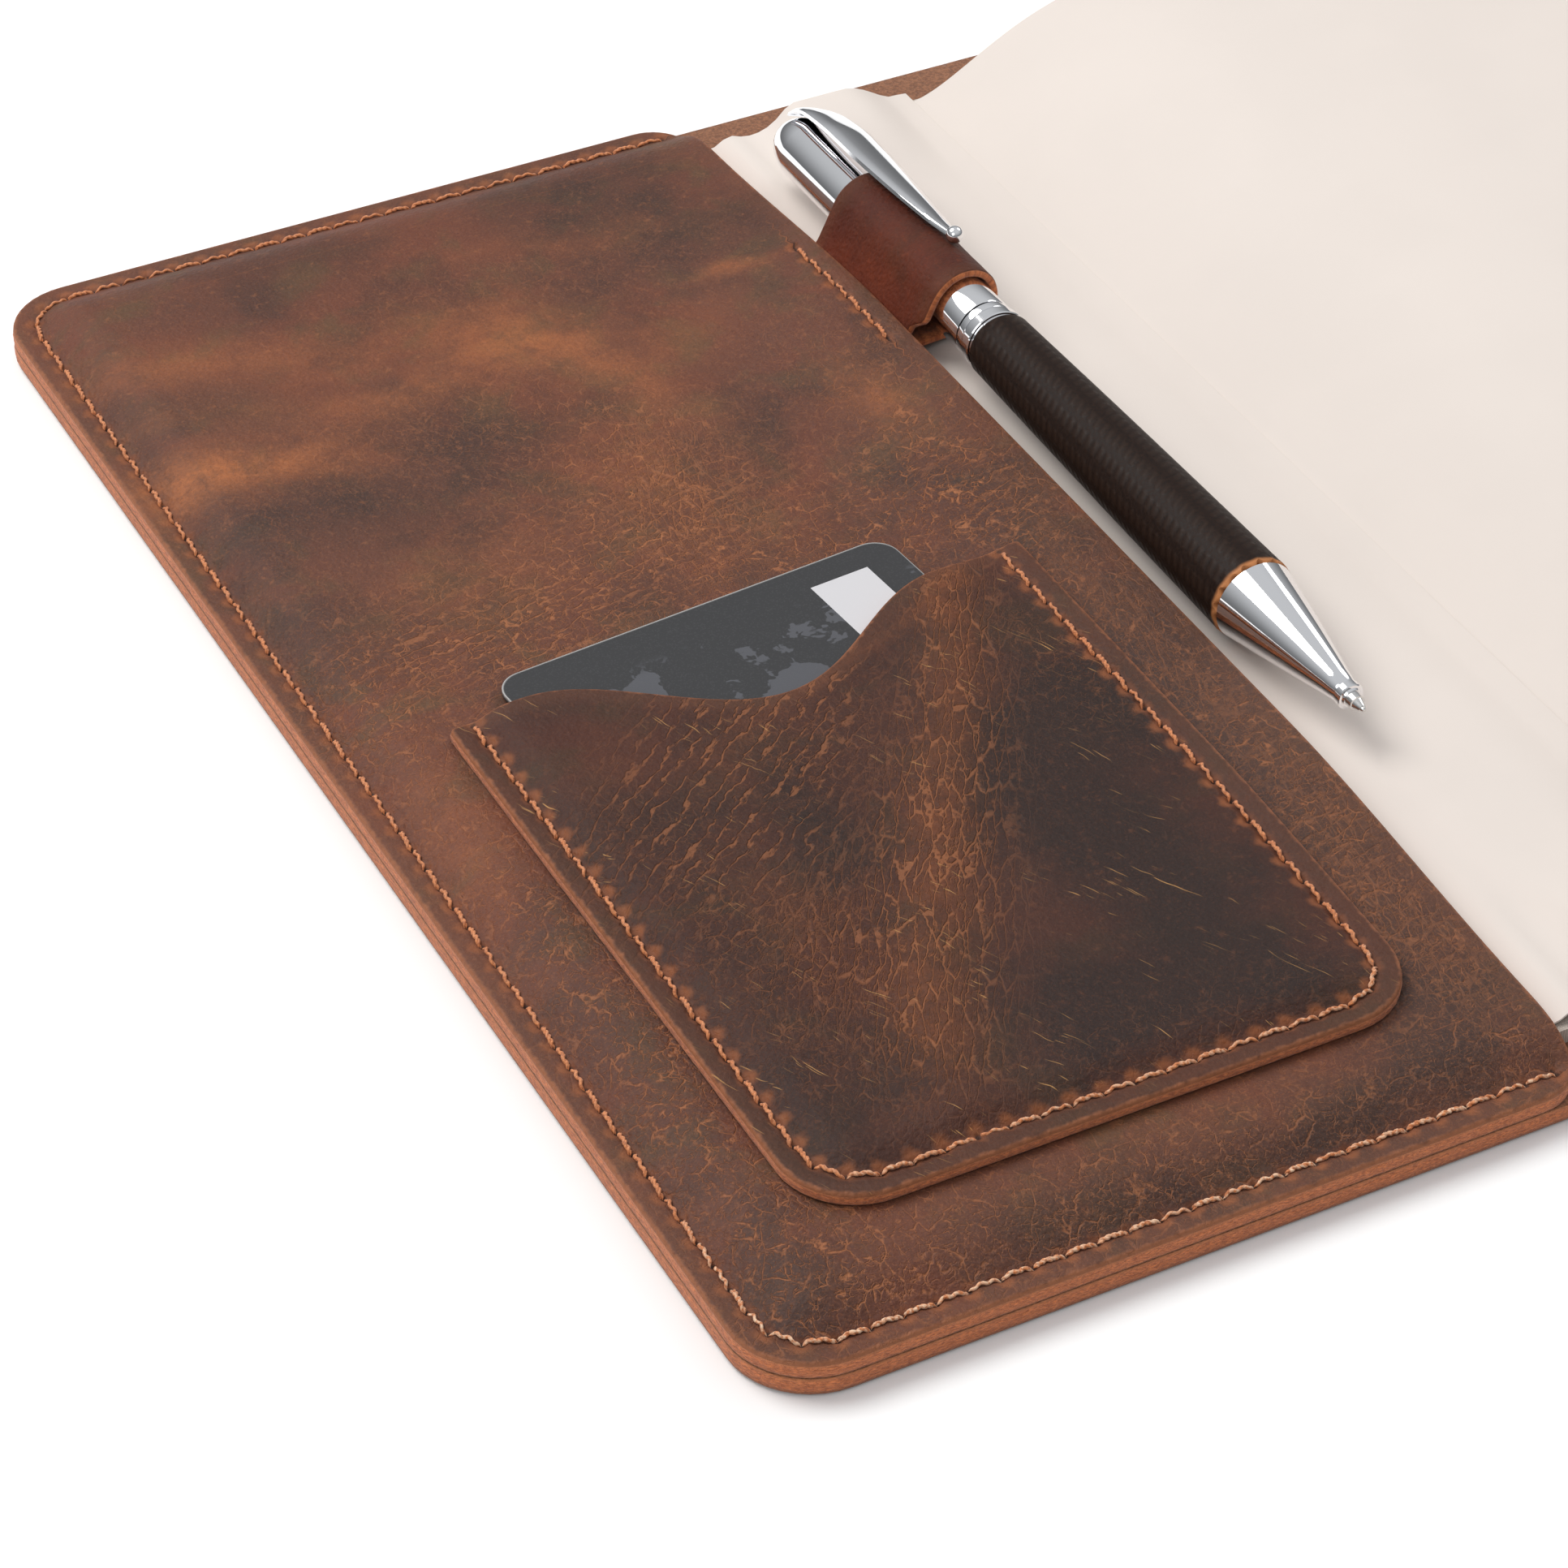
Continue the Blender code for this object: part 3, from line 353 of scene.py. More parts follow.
def grid_inside(outline, step, margin):
    """Staggered grid points inside an outline, no nearer to it than margin."""
    low, high = outline.min(0), outline.max(0)
    rows = np.arange(low[1] + margin, high[1] - margin / 2, step * 0.87)
    points = []
    for index, y in enumerate(rows):
        xs = np.arange(low[0] + margin + (index % 2) * step / 2, high[0] - margin / 2, step)
        points.append(np.stack([xs, np.full(len(xs), y)], axis=1))
    points = np.vstack(points)
    points = points[inside(points, outline)]
    return points[nearest(points, outline, True)[0] > margin]


def rim_rings(outline, insets):
    """Points on lines inside the outline, for its rounded rim."""
    before, after = np.roll(outline, 1, axis=0), np.roll(outline, -1, axis=0)
    run = after - before
    run /= np.linalg.norm(run, axis=1)[:, None]
    inward = np.stack([-run[:, 1], run[:, 0]], axis=1)
    rings = []
    for inset in insets:
        ring = outline + inward * inset
        keep = nearest(ring, outline, True)[0] > inset * 0.85
        rings.append(ring[keep & inside(ring, outline)])
    return np.vstack(rings), -inward


def leather(name, outline, under, thick, step, looks, seams=(), relief=None, flush=None, under_seams=(),
            rounding=0.45, low_rounding=0.10, back_step=4.0):
    """A closed leather sheet: grain face on top, raw edge round it, and a back.

    under(plan) is the height of its underside and relief(plan) is added to its top. Where the
    outline lies on X = flush, the edge stays square, because another sheet carries on there.
    """
    border = subdivide(outline, 0.9)
    count = len(border)
    insets = (0.1, 0.28, 0.55, 1.0)
    rings, outward = rim_rings(border, insets)

    def sheet_points(spacing, stitched):
        points = grid_inside(outline, spacing, 1.6)
        extra = [rings]
        for seam in stitched:
            keep = np.abs(seam.measure(points)[1]) > 1.3
            points = points[keep]
            stencil = seam.stencil()
            stencil = stencil[inside(stencil, outline)]
            extra.append(stencil[nearest(stencil, outline, True)[0] > 1.2])
        return np.vstack([points] + extra)

    def rim(plan):
        free = border
        if flush is not None:
            free = border[np.abs(border[:, 0] - flush) > 0.01]
            free = np.roll(free, -int(np.argmax(np.linalg.norm(np.diff(free, axis=0), axis=1))) - 1, axis=0)
        return nearest(plan, free, flush is None)[0]

    def drop(distance, radius):
        reach = np.clip(radius - distance, 0, radius)
        return radius - np.sqrt(np.maximum(radius**2 - reach**2, 0))

    top, top_faces = fill(border, sheet_points(step, seams))
    low, low_faces = fill(border, sheet_points(back_step, under_seams))
    top_rim, low_rim = rim(top), rim(low)
    top_z = under(top) + thick - drop(top_rim, rounding)
    low_z = under(low) + drop(low_rim, low_rounding)
    if relief is not None:
        top_z += relief(top) * smooth(top_rim / 2.5)
    place = [np.zeros(len(top)), np.full(len(top), 9.0)]
    for seam in seams:
        places, aside = seam.measure(top)
        top_z -= seam.dent(places, aside) * smooth(top_rim / 0.8)
        closer = np.abs(aside) < np.abs(place[1])
        place = [np.where(closer, places, place[0]), np.where(closer, aside, place[1])]
    low_place = [np.zeros(len(low)), np.full(len(low), 9.0)]
    for seam in under_seams:
        places, aside = seam.measure(low)
        low_z += seam.dent(places, aside)
        low_place = [places, aside]

    shares = (0.85, 0.68, 0.5, 0.32, 0.15)
    start, end = top_z[:count], low_z[:count]
    walls, wall_plan = [], []
    for index, share in enumerate(shares):
        frayed = 0.09 * rough(border * 3.0, 2.0, 40 + index) + 0.05 * math.sin(math.pi * share)
        frayed = frayed * (top_rim[:count] < 0.01) if flush is not None else frayed
        plan = border + outward * frayed[:, None]
        wall_plan.append(plan)
        walls.append(np.column_stack([plan, end + (start - end) * share]))
    points = np.vstack([np.column_stack([top, top_z])] + walls + [np.column_stack([low, low_z])])
    base = len(top)
    low_base = base + len(shares) * count
    rows = [np.arange(count)] + [base + index * count + np.arange(count) for index in range(len(shares))]
    rows.append(low_base + np.arange(count))
    faces = list(top_faces)
    slots = [0] * len(top_faces)
    for upper, lower in zip(rows, rows[1:]):
        faces += np.stack([upper, lower, np.roll(lower, -1), np.roll(upper, -1)], axis=1).tolist()
        slots += [1] * count
    faces += [[low_base + corner for corner in reversed(face)] for face in low_faces]
    slots += [2] * len(low_faces)
    made = new_object(name, points, faces, looks, slots)

    level = np.concatenate([np.ones(len(top)), np.repeat(shares, count), np.zeros(len(low))])
    edge = np.concatenate([top_rim, np.zeros(len(shares) * count), low_rim])
    stitch = np.zeros((len(points), 3))
    stitch[:, 1] = 9.0
    stitch[:base, 0], stitch[:base, 1] = place
    stitch[low_base:, 0], stitch[low_base:, 1] = low_place
    add_attribute(made, "level", level)
    add_attribute(made, "edge", edge)
    add_attribute(made, "stitch", stitch)
    return made


def rest_points(piece):
    """A piece's vertices in millimetres."""
    points = np.empty(len(piece.data.vertices) * 3, np.float32)
    piece.data.vertices.foreach_get("co", points)
    return points.reshape(-1, 3) / MM


def paint(piece, pull=(), dark=(), crack=(), crease=(), fan=(), origin=(0.0, 0.0), wander=3.0, seed=5):
    """Where the oiled leather is pulled light, dark, cracked, creased or wrinkled, from tables of spots."""
    plan = rest_points(piece)[:, :2] - np.array(origin)
    tables = (("pull", pull), ("dark", dark), ("crack", crack), ("crease", crease), ("fan", fan))
    for name, table in tables:
        add_attribute(piece, name, np.clip(marks(plan, table, wander, seed), 0, 1.5))


def twisted_thread(name, seam, height, flip, pale_and_highlight):
    """Stitches of two twisted plies, each diving into its holes.

    height(plan) is the leather's face under the thread, flip is -1 on the underside, and
    the last argument, a function of the plan, says how pale a stitch is painted: partly paler thread, partly
    a painted highlight.
    """
    steps, sides = 17, 6
    share = np.linspace(0, 1, steps)
    points, faces, shade = [], [], []
    rng = np.random.default_rng(11)
    start, end = seam.holes[:-1], seam.holes[1:]
    unit = (end - start) / np.linalg.norm(end - start, axis=1)[:, None]
    left = np.stack([-unit[:, 1], unit[:, 0]], axis=1)
    face_height = height((start + end) / 2)
    hump = np.minimum(1.0, 1.25 * np.sin(np.pi * share)) ** 0.6
    lift = -THREAD_SINK + (THREAD_SINK + THREAD_RISE) * hump
    reach = PLY_RADIUS * np.clip(np.minimum(share, 1 - share) / 0.1, 0.05, 1)[None, :, None]
    around = np.linspace(0, 2 * np.pi, sides, endpoint=False)
    side = reach * np.cos(around)
    over = reach * np.sin(around) * flip
    for ply in (0, 1):
        phase = rng.uniform(0, 6.28, seam.count)
        turn = 2 * np.pi * THREAD_TWIST * share[None, :] + np.pi * ply + phase[:, None]
        aside = STITCH_SLANT * (0.5 - share)[None, :] * 2 + 0.135 * np.cos(turn)
        up = flip * (lift[None, :] + 0.10 * np.sin(turn))
        center = start[:, None, :] + (end - start)[:, None, :] * share[None, :, None]
        center = center + left[:, None, :] * aside[..., None]
        ring = center[:, :, None, :] + left[:, None, None, :] * side[..., None]
        z = face_height[:, None, None] + up[:, :, None] + over
        stack = np.concatenate([ring, z[..., None] + 0 * ring[..., :1]], axis=3)
        points.append(stack.reshape(-1, 3))
        shade.append(np.repeat(pale_and_highlight(start) * rng.uniform(0.5, 1, seam.count), steps * sides))
    *quads, first_end, last_end = ring_faces(steps, sides)
    stitch_faces = quads + [first_end[::-1], last_end]
    if flip > 0:
        stitch_faces = [face[::-1] for face in stitch_faces]
    for stitch in range(2 * seam.count):
        base = stitch * steps * sides
        faces += [[base + corner for corner in face] for face in stitch_faces]
    made = new_object(name, np.vstack(points), faces, [THREAD])
    add_attribute(made, "pale_and_highlight", np.concatenate(shade))
    return made


# ---------------------------------------------------------------- materials
class Graph:
    """A material's node tree, with short ways to add to it."""

    def __init__(self, name):
        self.material = bpy.data.materials.new(name)
        self.material.use_nodes = True
        self.tree = self.material.node_tree
        self.shader = self.tree.nodes["Principled BSDF"]

    def add(self, kind, inputs=None, output=0, **settings):
        """A node with inputs given by name or number, each a value or another node's output."""
        node = self.tree.nodes.new("ShaderNode" + kind)
        for key, value in settings.items():
            setattr(node, key, value)
        for key, value in (inputs or {}).items():
            self.put(node.inputs[key], value)
        return node.outputs[output]

    def put(self, socket, value):
        """Link or set one input."""
        if isinstance(value, bpy.types.NodeSocket):
            self.tree.links.new(value, socket)
        elif isinstance(value, tuple) and len(value) == 3 and socket.type == "RGBA":
            socket.default_value = (*value, 1.0)
        else:
            socket.default_value = value

    def math(self, operation, first, second=0.0, third=0.0, clamp=False):
        """One sum."""
        return self.add("Math", {0: first, 1: second, 2: third}, operation=operation, use_clamp=clamp)

    def value(self, name):
        """A number kept at each vertex."""
        return self.add("Attribute", output="Fac", attribute_name=name)

    def vector(self, name):
        """A vector kept at each vertex."""
        return self.add("Attribute", output="Vector", attribute_name=name)

    def place(self, coords, scale=(1, 1, 1), angle=0.0):
        """Coordinates turned by an angle, then scaled."""
        turned = self.add("VectorRotate", {"Vector": coords, "Angle": math.radians(-angle)},
                          rotation_type="Z_AXIS")
        return self.add("Mapping", {"Vector": turned, "Scale": scale})

    def noise(self, coords, scale, detail=2.0, roughness=0.5, distortion=0.0):
        """Cloudy noise from 0 to 1."""
        inputs = {"Vector": coords, "Scale": scale, "Detail": detail, "Roughness": roughness,
                  "Distortion": distortion}
        return self.add("TexNoise", inputs)

    def cells(self, coords, scale, feature="DISTANCE_TO_EDGE"):
        """Distance from the borders, or the centres, of scattered cells."""
        return self.add("TexVoronoi", {"Vector": coords, "Scale": scale}, output="Distance", feature=feature)

    def warp(self, coords, scale, amount):
        """Coordinates pushed about by noise."""
        push = self.add("TexNoise", {"Vector": coords, "Scale": scale, "Detail": 2.0}, output="Color")
        push = self.add("VectorMath", {0: push, 1: (0.5, 0.5, 0.5)}, operation="SUBTRACT")
        push = self.add("VectorMath", {0: push, "Scale": amount}, operation="SCALE")
        return self.add("VectorMath", {0: coords, 1: push}, operation="ADD")

    def step(self, value, low, high, to_low=0.0, to_high=1.0):
        """An even S from to_low at low to to_high at high."""
        inputs = {"Value": value, "From Min": low, "From Max": high, "To Min": to_low, "To Max": to_high}
        return self.add("MapRange", inputs, interpolation_type="SMOOTHSTEP")

    def mix(self, share, first, second, blend="MIX"):
        """Two colours mixed."""
        node = self.tree.nodes.new("ShaderNodeMix")
        node.data_type = "RGBA"
        node.blend_type = blend
        for socket, value in ((node.inputs[0], share), (node.inputs[6], first), (node.inputs[7], second)):
            self.put(socket, value)
        return node.outputs[2]

    def bump(self, height, distance, strength):
        """A normal from a height; distance is in millimetres."""
        return self.add("Bump", {"Height": height, "Distance": distance * MM, "Strength": strength})

    def finish(self, color, roughness, normal=None, **constants):
        """Wire the shader; constants are set on its own sockets."""
        self.put(self.shader.inputs["Base Color"], color)
        self.put(self.shader.inputs["Roughness"], roughness)
        if normal is not None:
            self.put(self.shader.inputs["Normal"], normal)
        for key, value in constants.items():
            self.shader.inputs[key.replace("_", " ")].default_value = value
        return self.material


BROWN = (0.135, 0.044, 0.024)
DEEP_BROWN = (0.046, 0.021, 0.015)
RED_BROWN = (0.160, 0.045, 0.022)
OLIVE_BROWN = (0.115, 0.060, 0.025)
PULLED = (0.42, 0.132, 0.040)
VEIN = (0.46, 0.165, 0.060)
RAW = (0.74, 0.235, 0.078)
RAW_DARK = (0.34, 0.090, 0.032)
VEIN_SCALE = 0.42  # cells of the leather's net of cracks to a millimetre


def pull_up_leather(name, crease_angle, tone=(1.0, 1.0, 1.0), seed=0.0, scratches=0.0,
                    fan_angle=37.0, shine=0.32, line_strength=0.66):
    """Oiled leather whose surface goes light where it is bent, scratched or sewn.

    Creases run at crease_angle and wrinkles at fan_angle, in degrees from X in plan.
    """
    g = Graph(name)
    rest = g.add("VectorMath", {0: g.vector("rest"), 1: (seed * 37.0, seed * 53.0, 0)}, operation="ADD")
    pull, dark = g.value("pull"), g.value("dark")
    crack, crease = g.value("crack"), g.value("crease")
    edge = g.value("edge")

    # broad tones
    broad = g.noise(rest, 0.045, 4.0, 0.55, 0.8)
    cloud = g.noise(rest, 0.11, 4.0, 0.6, 0.4)
    color = g.mix(g.step(broad, 0.40, 0.62), BROWN, RED_BROWN)
    color = g.mix(g.step(cloud, 0.47, 0.70, 0.0, 0.75), color, OLIVE_BROWN)
    darkness = g.math("MULTIPLY_ADD", dark, 0.9, g.step(g.noise(rest, 0.07, 4.0, 0.6), 0.56, 0.38, 0.0, 0.45))
    color = g.mix(g.math("MINIMUM", darkness, 0.92), color, DEEP_BROWN)

    # light areas where the oil has moved away
    grain = g.noise(rest, 1.7, 5.0, 0.72)
    patchy = g.step(g.noise(rest, 0.24, 4.0, 0.6), 0.30, 0.62, 0.45, 1.15)
    light = g.math("MULTIPLY", pull, patchy)
    light = g.math("MULTIPLY", light, g.step(grain, 0.28, 0.66, 0.62, 1.12), clamp=True)
    color = g.mix(light, color, PULLED)

    # salt and pepper of the grain
    pepper = g.noise(rest, 4.2, 3.0, 0.7)
    color = g.mix(g.step(pepper, 0.52, 0.74, 0.0, 0.40), color, VEIN)
    color = g.mix(g.step(pepper, 0.46, 0.28, 0.0, 0.45), color, DEEP_BROWN)
    blotch = g.noise(rest, 0.85, 4.0, 0.65)
    color = g.mix(g.step(blotch, 0.55, 0.75, 0.0, 0.30), color, VEIN)

    color = g.mix(1.0, color, tone, "MULTIPLY")

    # fine cracks in a net, long creases along folds, and parallel wrinkles
    bent = g.warp(g.warp(g.warp(rest, 0.15, 3.6), 0.50, 1.25), 1.9, 0.30)
    stretched = g.place(bent, (0.62, 1.0, 1.0), crease_angle)
    wide_net = g.step(g.cells(stretched, VEIN_SCALE), 0.006, 0.060, 0.85, 0.0)
    fine_net = g.step(g.cells(bent, VEIN_SCALE * 2.5), 0.008, 0.085, 0.75, 0.0)
    unbroken = g.step(g.noise(rest, 0.42, 4.0, 0.7), 0.42, 0.60)
    broken = g.step(g.noise(rest, 0.75, 3.0, 0.65), 0.42, 0.62)
    net = g.math("MAXIMUM", g.math("MULTIPLY", wide_net, unbroken), g.math("MULTIPLY", fine_net, broken))
    net_share = g.math("MULTIPLY", net, crack, clamp=True)
    run = g.place(g.warp(g.warp(rest, 0.10, 1.8), 0.75, 0.50), (0.13, 0.86, 1.0), crease_angle)
    long_line = g.step(g.cells(run, 1.0), 0.008, 0.085, 1.0, 0.0)
    short_line = g.step(g.cells(run, 1.7), 0.008, 0.100, 0.65, 0.0)
    fold_broken = g.step(g.noise(rest, 0.35, 3.0, 0.6), 0.26, 0.50)
    run_lines = g.math("MAXIMUM", g.math("MULTIPLY", long_line, fold_broken),
                       g.math("MULTIPLY", short_line, broken))
    crease_share = g.math("MULTIPLY", run_lines, crease, clamp=True)
    wrinkles = g.add("SeparateXYZ", {0: g.place(rest, (1, 1, 1), fan_angle)}, output=1)
    sway = g.noise(g.place(rest, (0.55, 1.0, 1.0), fan_angle), 0.34, 3.0, 0.6)
    wrinkles = g.math("MULTIPLY_ADD", sway, 2.6, g.math("MULTIPLY", wrinkles, 0.52))
    off_line = g.math("ABSOLUTE", g.math("SUBTRACT", g.math("FRACT", wrinkles), 0.5))
    parted = g.step(g.noise(g.place(rest, (0.4, 1.0, 1.0), fan_angle), 0.9, 3.0, 0.65), 0.36, 0.56)
    fan_share = g.math("MULTIPLY", g.step(off_line, 0.03, 0.16, 1.0, 0.0), parted)
    fan_share = g.math("MULTIPLY", fan_share, g.value("fan"), clamp=True)
    lines = g.math("MAXIMUM", g.math("MAXIMUM", net_share, crease_share), fan_share)
    color = g.mix(g.math("MULTIPLY", lines, line_strength), color, VEIN)

    # scratches
    if scratches:
        streak = g.place(g.warp(rest, 0.12, 3.0), (0.16, 5.5, 1.0), -64.0)
        cut = g.step(g.noise(streak, 1.0, 1.0, 0.4), 0.70, 0.76)
        where = g.step(g.noise(rest, 0.10, 2.0), 0.46, 0.62, 0.0, scratches)
        color = g.mix(g.math("MULTIPLY", cut, where), color, (0.42, 0.22, 0.075))

    # halos round the stitch holes, and painted shade in the holes and in the groove
    stitch = g.add("SeparateXYZ", {0: g.vector("stitch")})
    aside = g.add("SeparateXYZ", {0: g.vector("stitch")}, output=1)
    from_hole = g.math("MULTIPLY", g.math("SUBTRACT", stitch, g.math("ROUND", stitch)), STITCH_PITCH)
    ragged = g.math("MULTIPLY_ADD", g.noise(rest, 0.8, 2.0), 1.1, 0.45)
    outward = g.math("SUBTRACT", aside, 0.4)
    reach = g.math("SQRT", g.math("ADD", g.math("POWER", from_hole, 2.0), g.math("POWER", aside, 2.0)))
    spread = g.math("SQRT", g.math("ADD", g.math("POWER", from_hole, 2.0), g.math("POWER", outward, 2.0)))
    halo = g.step(g.math("DIVIDE", spread, ragged), 0.40, 1.55, 0.52, 0.0)
    color = g.mix(halo, color, (0.40, 0.125, 0.038))
    line = g.step(g.math("ABSOLUTE", aside), 0.40, 1.1, 0.45, 0.0)
    color = g.mix(line, color, (0.11, 0.034, 0.016))
    # painted shade: the stitch holes are made nearly black
    color = g.mix(g.step(reach, 0.20, 0.46, 0.9, 0.0), color, (0.030, 0.010, 0.006))

    # rims rubbed light
    ragged_edge = g.math("ADD", edge, g.math("MULTIPLY", g.noise(rest, 0.9, 3.0), 0.9))
    rubbed = g.step(ragged_edge, 0.45, 1.05, 0.85, 0.0)
    color = g.mix(rubbed, color, (0.36, 0.125, 0.050))
    near_rim = g.step(edge, 0.9, 3.6, 0.22, 0.0)
    color = g.mix(near_rim, color, (0.17, 0.066, 0.032))

    pebble = g.cells(g.warp(rest, 1.2, 0.5), 1.9, "SMOOTH_F1")
    height = g.math("ADD", g.math("MULTIPLY", pebble, 0.55), g.math("MULTIPLY", grain, 0.6))
    height = g.math("MULTIPLY_ADD", g.noise(rest, 0.55, 3.0), 0.9, height)
    height = g.math("MULTIPLY_ADD", net_share, -0.85, height)
    height = g.math("MULTIPLY_ADD", g.math("MAXIMUM", crease_share, fan_share), -1.1, height)
    normal = g.bump(height, 0.22, 0.85)
    gloss = g.math("MULTIPLY_ADD", pepper, 0.22, 0.46)
    return g.finish(color, gloss, normal, Specular_IOR_Level=shine, Sheen_Weight=0.03, Sheen_Roughness=0.5)


def raw_edge(name):
    """The cut edge of the leather: fibres, darker in the middle, with painted shade along its foot."""
    g = Graph(name)
    rest = g.vector("rest")
    level = g.value("level")
    fibre = g.noise(g.place(rest, (1.0, 1.0, 3.4)), 1.5, 4.0, 0.7, 0.3)
    color = g.mix(g.step(fibre, 0.36, 0.66), RAW_DARK, RAW)
    fuzz = g.noise(rest, 5.0, 3.0, 0.7)
    color = g.mix(g.step(fuzz, 0.52, 0.72, 0.0, 0.5), color, (0.66, 0.235, 0.085))
    middle = g.math("MULTIPLY", g.step(level, 0.05, 0.35), g.step(level, 0.62, 0.36))
    color = g.mix(g.math("MULTIPLY", middle, 0.25), color, RAW_DARK)
    top = g.step(level, 0.72, 0.97, 0.0, 0.55)
    color = g.mix(top, color, (0.44, 0.165, 0.070))
    # painted shade: the foot of the edge is darkened, where it meets the leather or floor beneath
    color = g.mix(g.step(level, 0.22, 0.0, 0.0, 0.5), color, (0.09, 0.035, 0.018))
    height = g.math("ADD", fibre, g.math("MULTIPLY", fuzz, 0.6))
    return g.finish(color, 0.82, g.bump(height, 0.25, 0.8), Specular_IOR_Level=0.25, Sheen_Weight=0.2)


def flesh_side(name):
    """The fuzzy back of the leather."""
    g = Graph(name)
    rest = g.vector("rest")
    fuzz = g.noise(rest, 2.2, 5.0, 0.75)
    color = g.mix(g.step(fuzz, 0.35, 0.68), (0.16, 0.062, 0.030), (0.34, 0.145, 0.070))
    return g.finish(color, 0.9, g.bump(fuzz, 0.2, 0.7), Specular_IOR_Level=0.2, Sheen_Weight=0.25)


def thread_look(name):
    """Waxed twisted thread, some stitches painted pale: partly paler thread, partly a painted highlight
    towards the near end.
    """
    g = Graph(name)
    rest = g.vector("rest")
    fibre = g.noise(rest, 3.6, 4.0, 0.7)
    color = g.mix(g.step(fibre, 0.36, 0.64), (0.40, 0.115, 0.036), (0.72, 0.26, 0.090))
    # painted highlight: stitches towards the cover's near end are mixed towards cream, over some paler thread
    # along all seams
    pale = g.math("MULTIPLY", g.value("pale_and_highlight"), g.step(g.noise(rest, 2.2, 3.0), 0.40, 0.60))
    color = g.mix(g.math("MULTIPLY", pale, 0.85), color, (0.90, 0.66, 0.46))
    return g.finish(color, 0.55, g.bump(fibre, 0.08, 0.6), Specular_IOR_Level=0.4, Sheen_Weight=0.2)


def paper_look(name, color=(0.735, 0.662, 0.612)):
    """Smooth cream paper, with painted shade along the gutter."""
    g = Graph(name)
    rest = g.vector("rest")
    tooth = g.noise(rest, 3.0, 4.0, 0.7)
    cloud = g.noise(rest, 0.05, 3.0, 0.5)
    shade = g.mix(g.step(cloud, 0.35, 0.65, 0.0, 0.5), color, tuple(0.965 * part for part in color))
    # painted shade: the paper darkens within 11 mm of the gutter line, where the crease lies in shade
    away = g.math("ABSOLUTE", g.math("ADD", g.add("SeparateXYZ", {0: rest}), FOLD_X))
    shade = g.mix(g.step(away, 0.0, 11.0, 0.10, 0.0), shade, (0.52, 0.45, 0.40))
    speck = g.step(g.cells(rest, 0.045, "F1"), 0.010, 0.020, 0.35, 0.0)
    shade = g.mix(speck, shade, (0.60, 0.42, 0.30))
    return g.finish(shade, 0.78, g.bump(tooth, 0.02, 0.5), Specular_IOR_Level=0.3)


def leaf_edges(name):
    """The cut edges of many leaves, one line of painted shade to a leaf, where the leaves meet."""
    g = Graph(name)
    rest = g.vector("rest")
    leaf = g.value("leaf")
    wobble = g.math("MULTIPLY", g.noise(rest, 0.22, 3.0), 0.016)
    layer = g.math("FRACT", g.math("MULTIPLY", g.math("ADD", leaf, wobble), 84.0))
    line = g.step(g.math("ABSOLUTE", g.math("SUBTRACT", layer, 0.5)), 0.22, 0.5)
    streak = g.noise(g.add("CombineXYZ", {0: g.math("MULTIPLY", leaf, 60.0)}), 1.0, 2.0)
    # painted shade: a dark line where each leaf meets the next
    color = g.mix(g.math("MULTIPLY", line, 0.55), (0.79, 0.71, 0.64), (0.46, 0.39, 0.33))
    color = g.mix(g.step(streak, 0.45, 0.65, 0.0, 0.35), color, (0.64, 0.56, 0.48))
    return g.finish(color, 0.85, g.bump(line, -0.08, 0.8), Specular_IOR_Level=0.2)


def board_cloth(name):
    """Pale book cloth on the notebook's boards."""
    g = Graph(name)
    coords = g.add("TexCoord", output="Object")
    weave = g.add("TexWave", {"Vector": coords, "Scale": 900.0, "Distortion": 0.6}, wave_type="BANDS")
    cross = g.add("TexWave", {"Vector": coords, "Scale": 900.0, "Distortion": 0.6}, wave_type="BANDS",
                  bands_direction="Y")
    cloth = g.math("MULTIPLY", weave, cross)
    color = g.mix(cloth, (0.46, 0.40, 0.35), (0.60, 0.53, 0.47))
    return g.finish(color, 0.8, g.bump(cloth, 0.05, 0.6), Specular_IOR_Level=0.3)


def metal(name, color, roughness, wear=0.02):
    """Polished metal with faint handling marks."""
    g = Graph(name)
    coords = g.add("TexCoord", output="Object")
    smudge = g.noise(coords, 160.0, 4.0, 0.6)
    shine = g.step(smudge, 0.35, 0.75, roughness, roughness + wear)
    shade = g.mix(g.step(smudge, 0.4, 0.8, 0.0, 0.12), color, tuple(0.9 * part for part in color))
    return g.finish(shade, shine, None, Metallic=1.0)


def card_look(name):
    """Dark laminated card with pale islands, a blank light panel and a fine dotted ground."""
    g = Graph(name)
    place = g.vector("card")
    across = g.add("SeparateXYZ", {0: place})
    down = g.add("SeparateXYZ", {0: place}, output=1)
    dots = g.cells(place, 3.2, "F1")
    ground = g.mix(g.step(dots, 0.15, 0.45), (0.047, 0.047, 0.050), (0.033, 0.033, 0.035))
    shape = g.noise(g.warp(place, 0.2, 3.0), 0.075, 5.0, 0.62)
    island = g.step(shape, 0.520, 0.532)
    island = g.math("MULTIPLY", island, g.step(down, 5.5, 8.5))
    color = g.mix(g.math("MULTIPLY", island, 0.75), ground, (0.100, 0.102, 0.116))
    panel = 1.0
    for value, low, high in ((across, 41.0, 49.0), (down, 4.2, 19.0)):
        panel = g.math("MULTIPLY", panel, g.math("GREATER_THAN", value, low))
        panel = g.math("MULTIPLY", panel, g.math("LESS_THAN", value, high))
    color = g.mix(panel, color, (0.62, 0.61, 0.63))
    color = g.mix(g.step(g.value("rim"), 0.02, 0.35, 0.85, 0.0), color, (0.52, 0.51, 0.50))
    return g.finish(color, 0.36, g.bump(dots, 0.01, 0.4), Specular_IOR_Level=0.4, Coat_Weight=0.06,
                    Coat_Roughness=0.2)


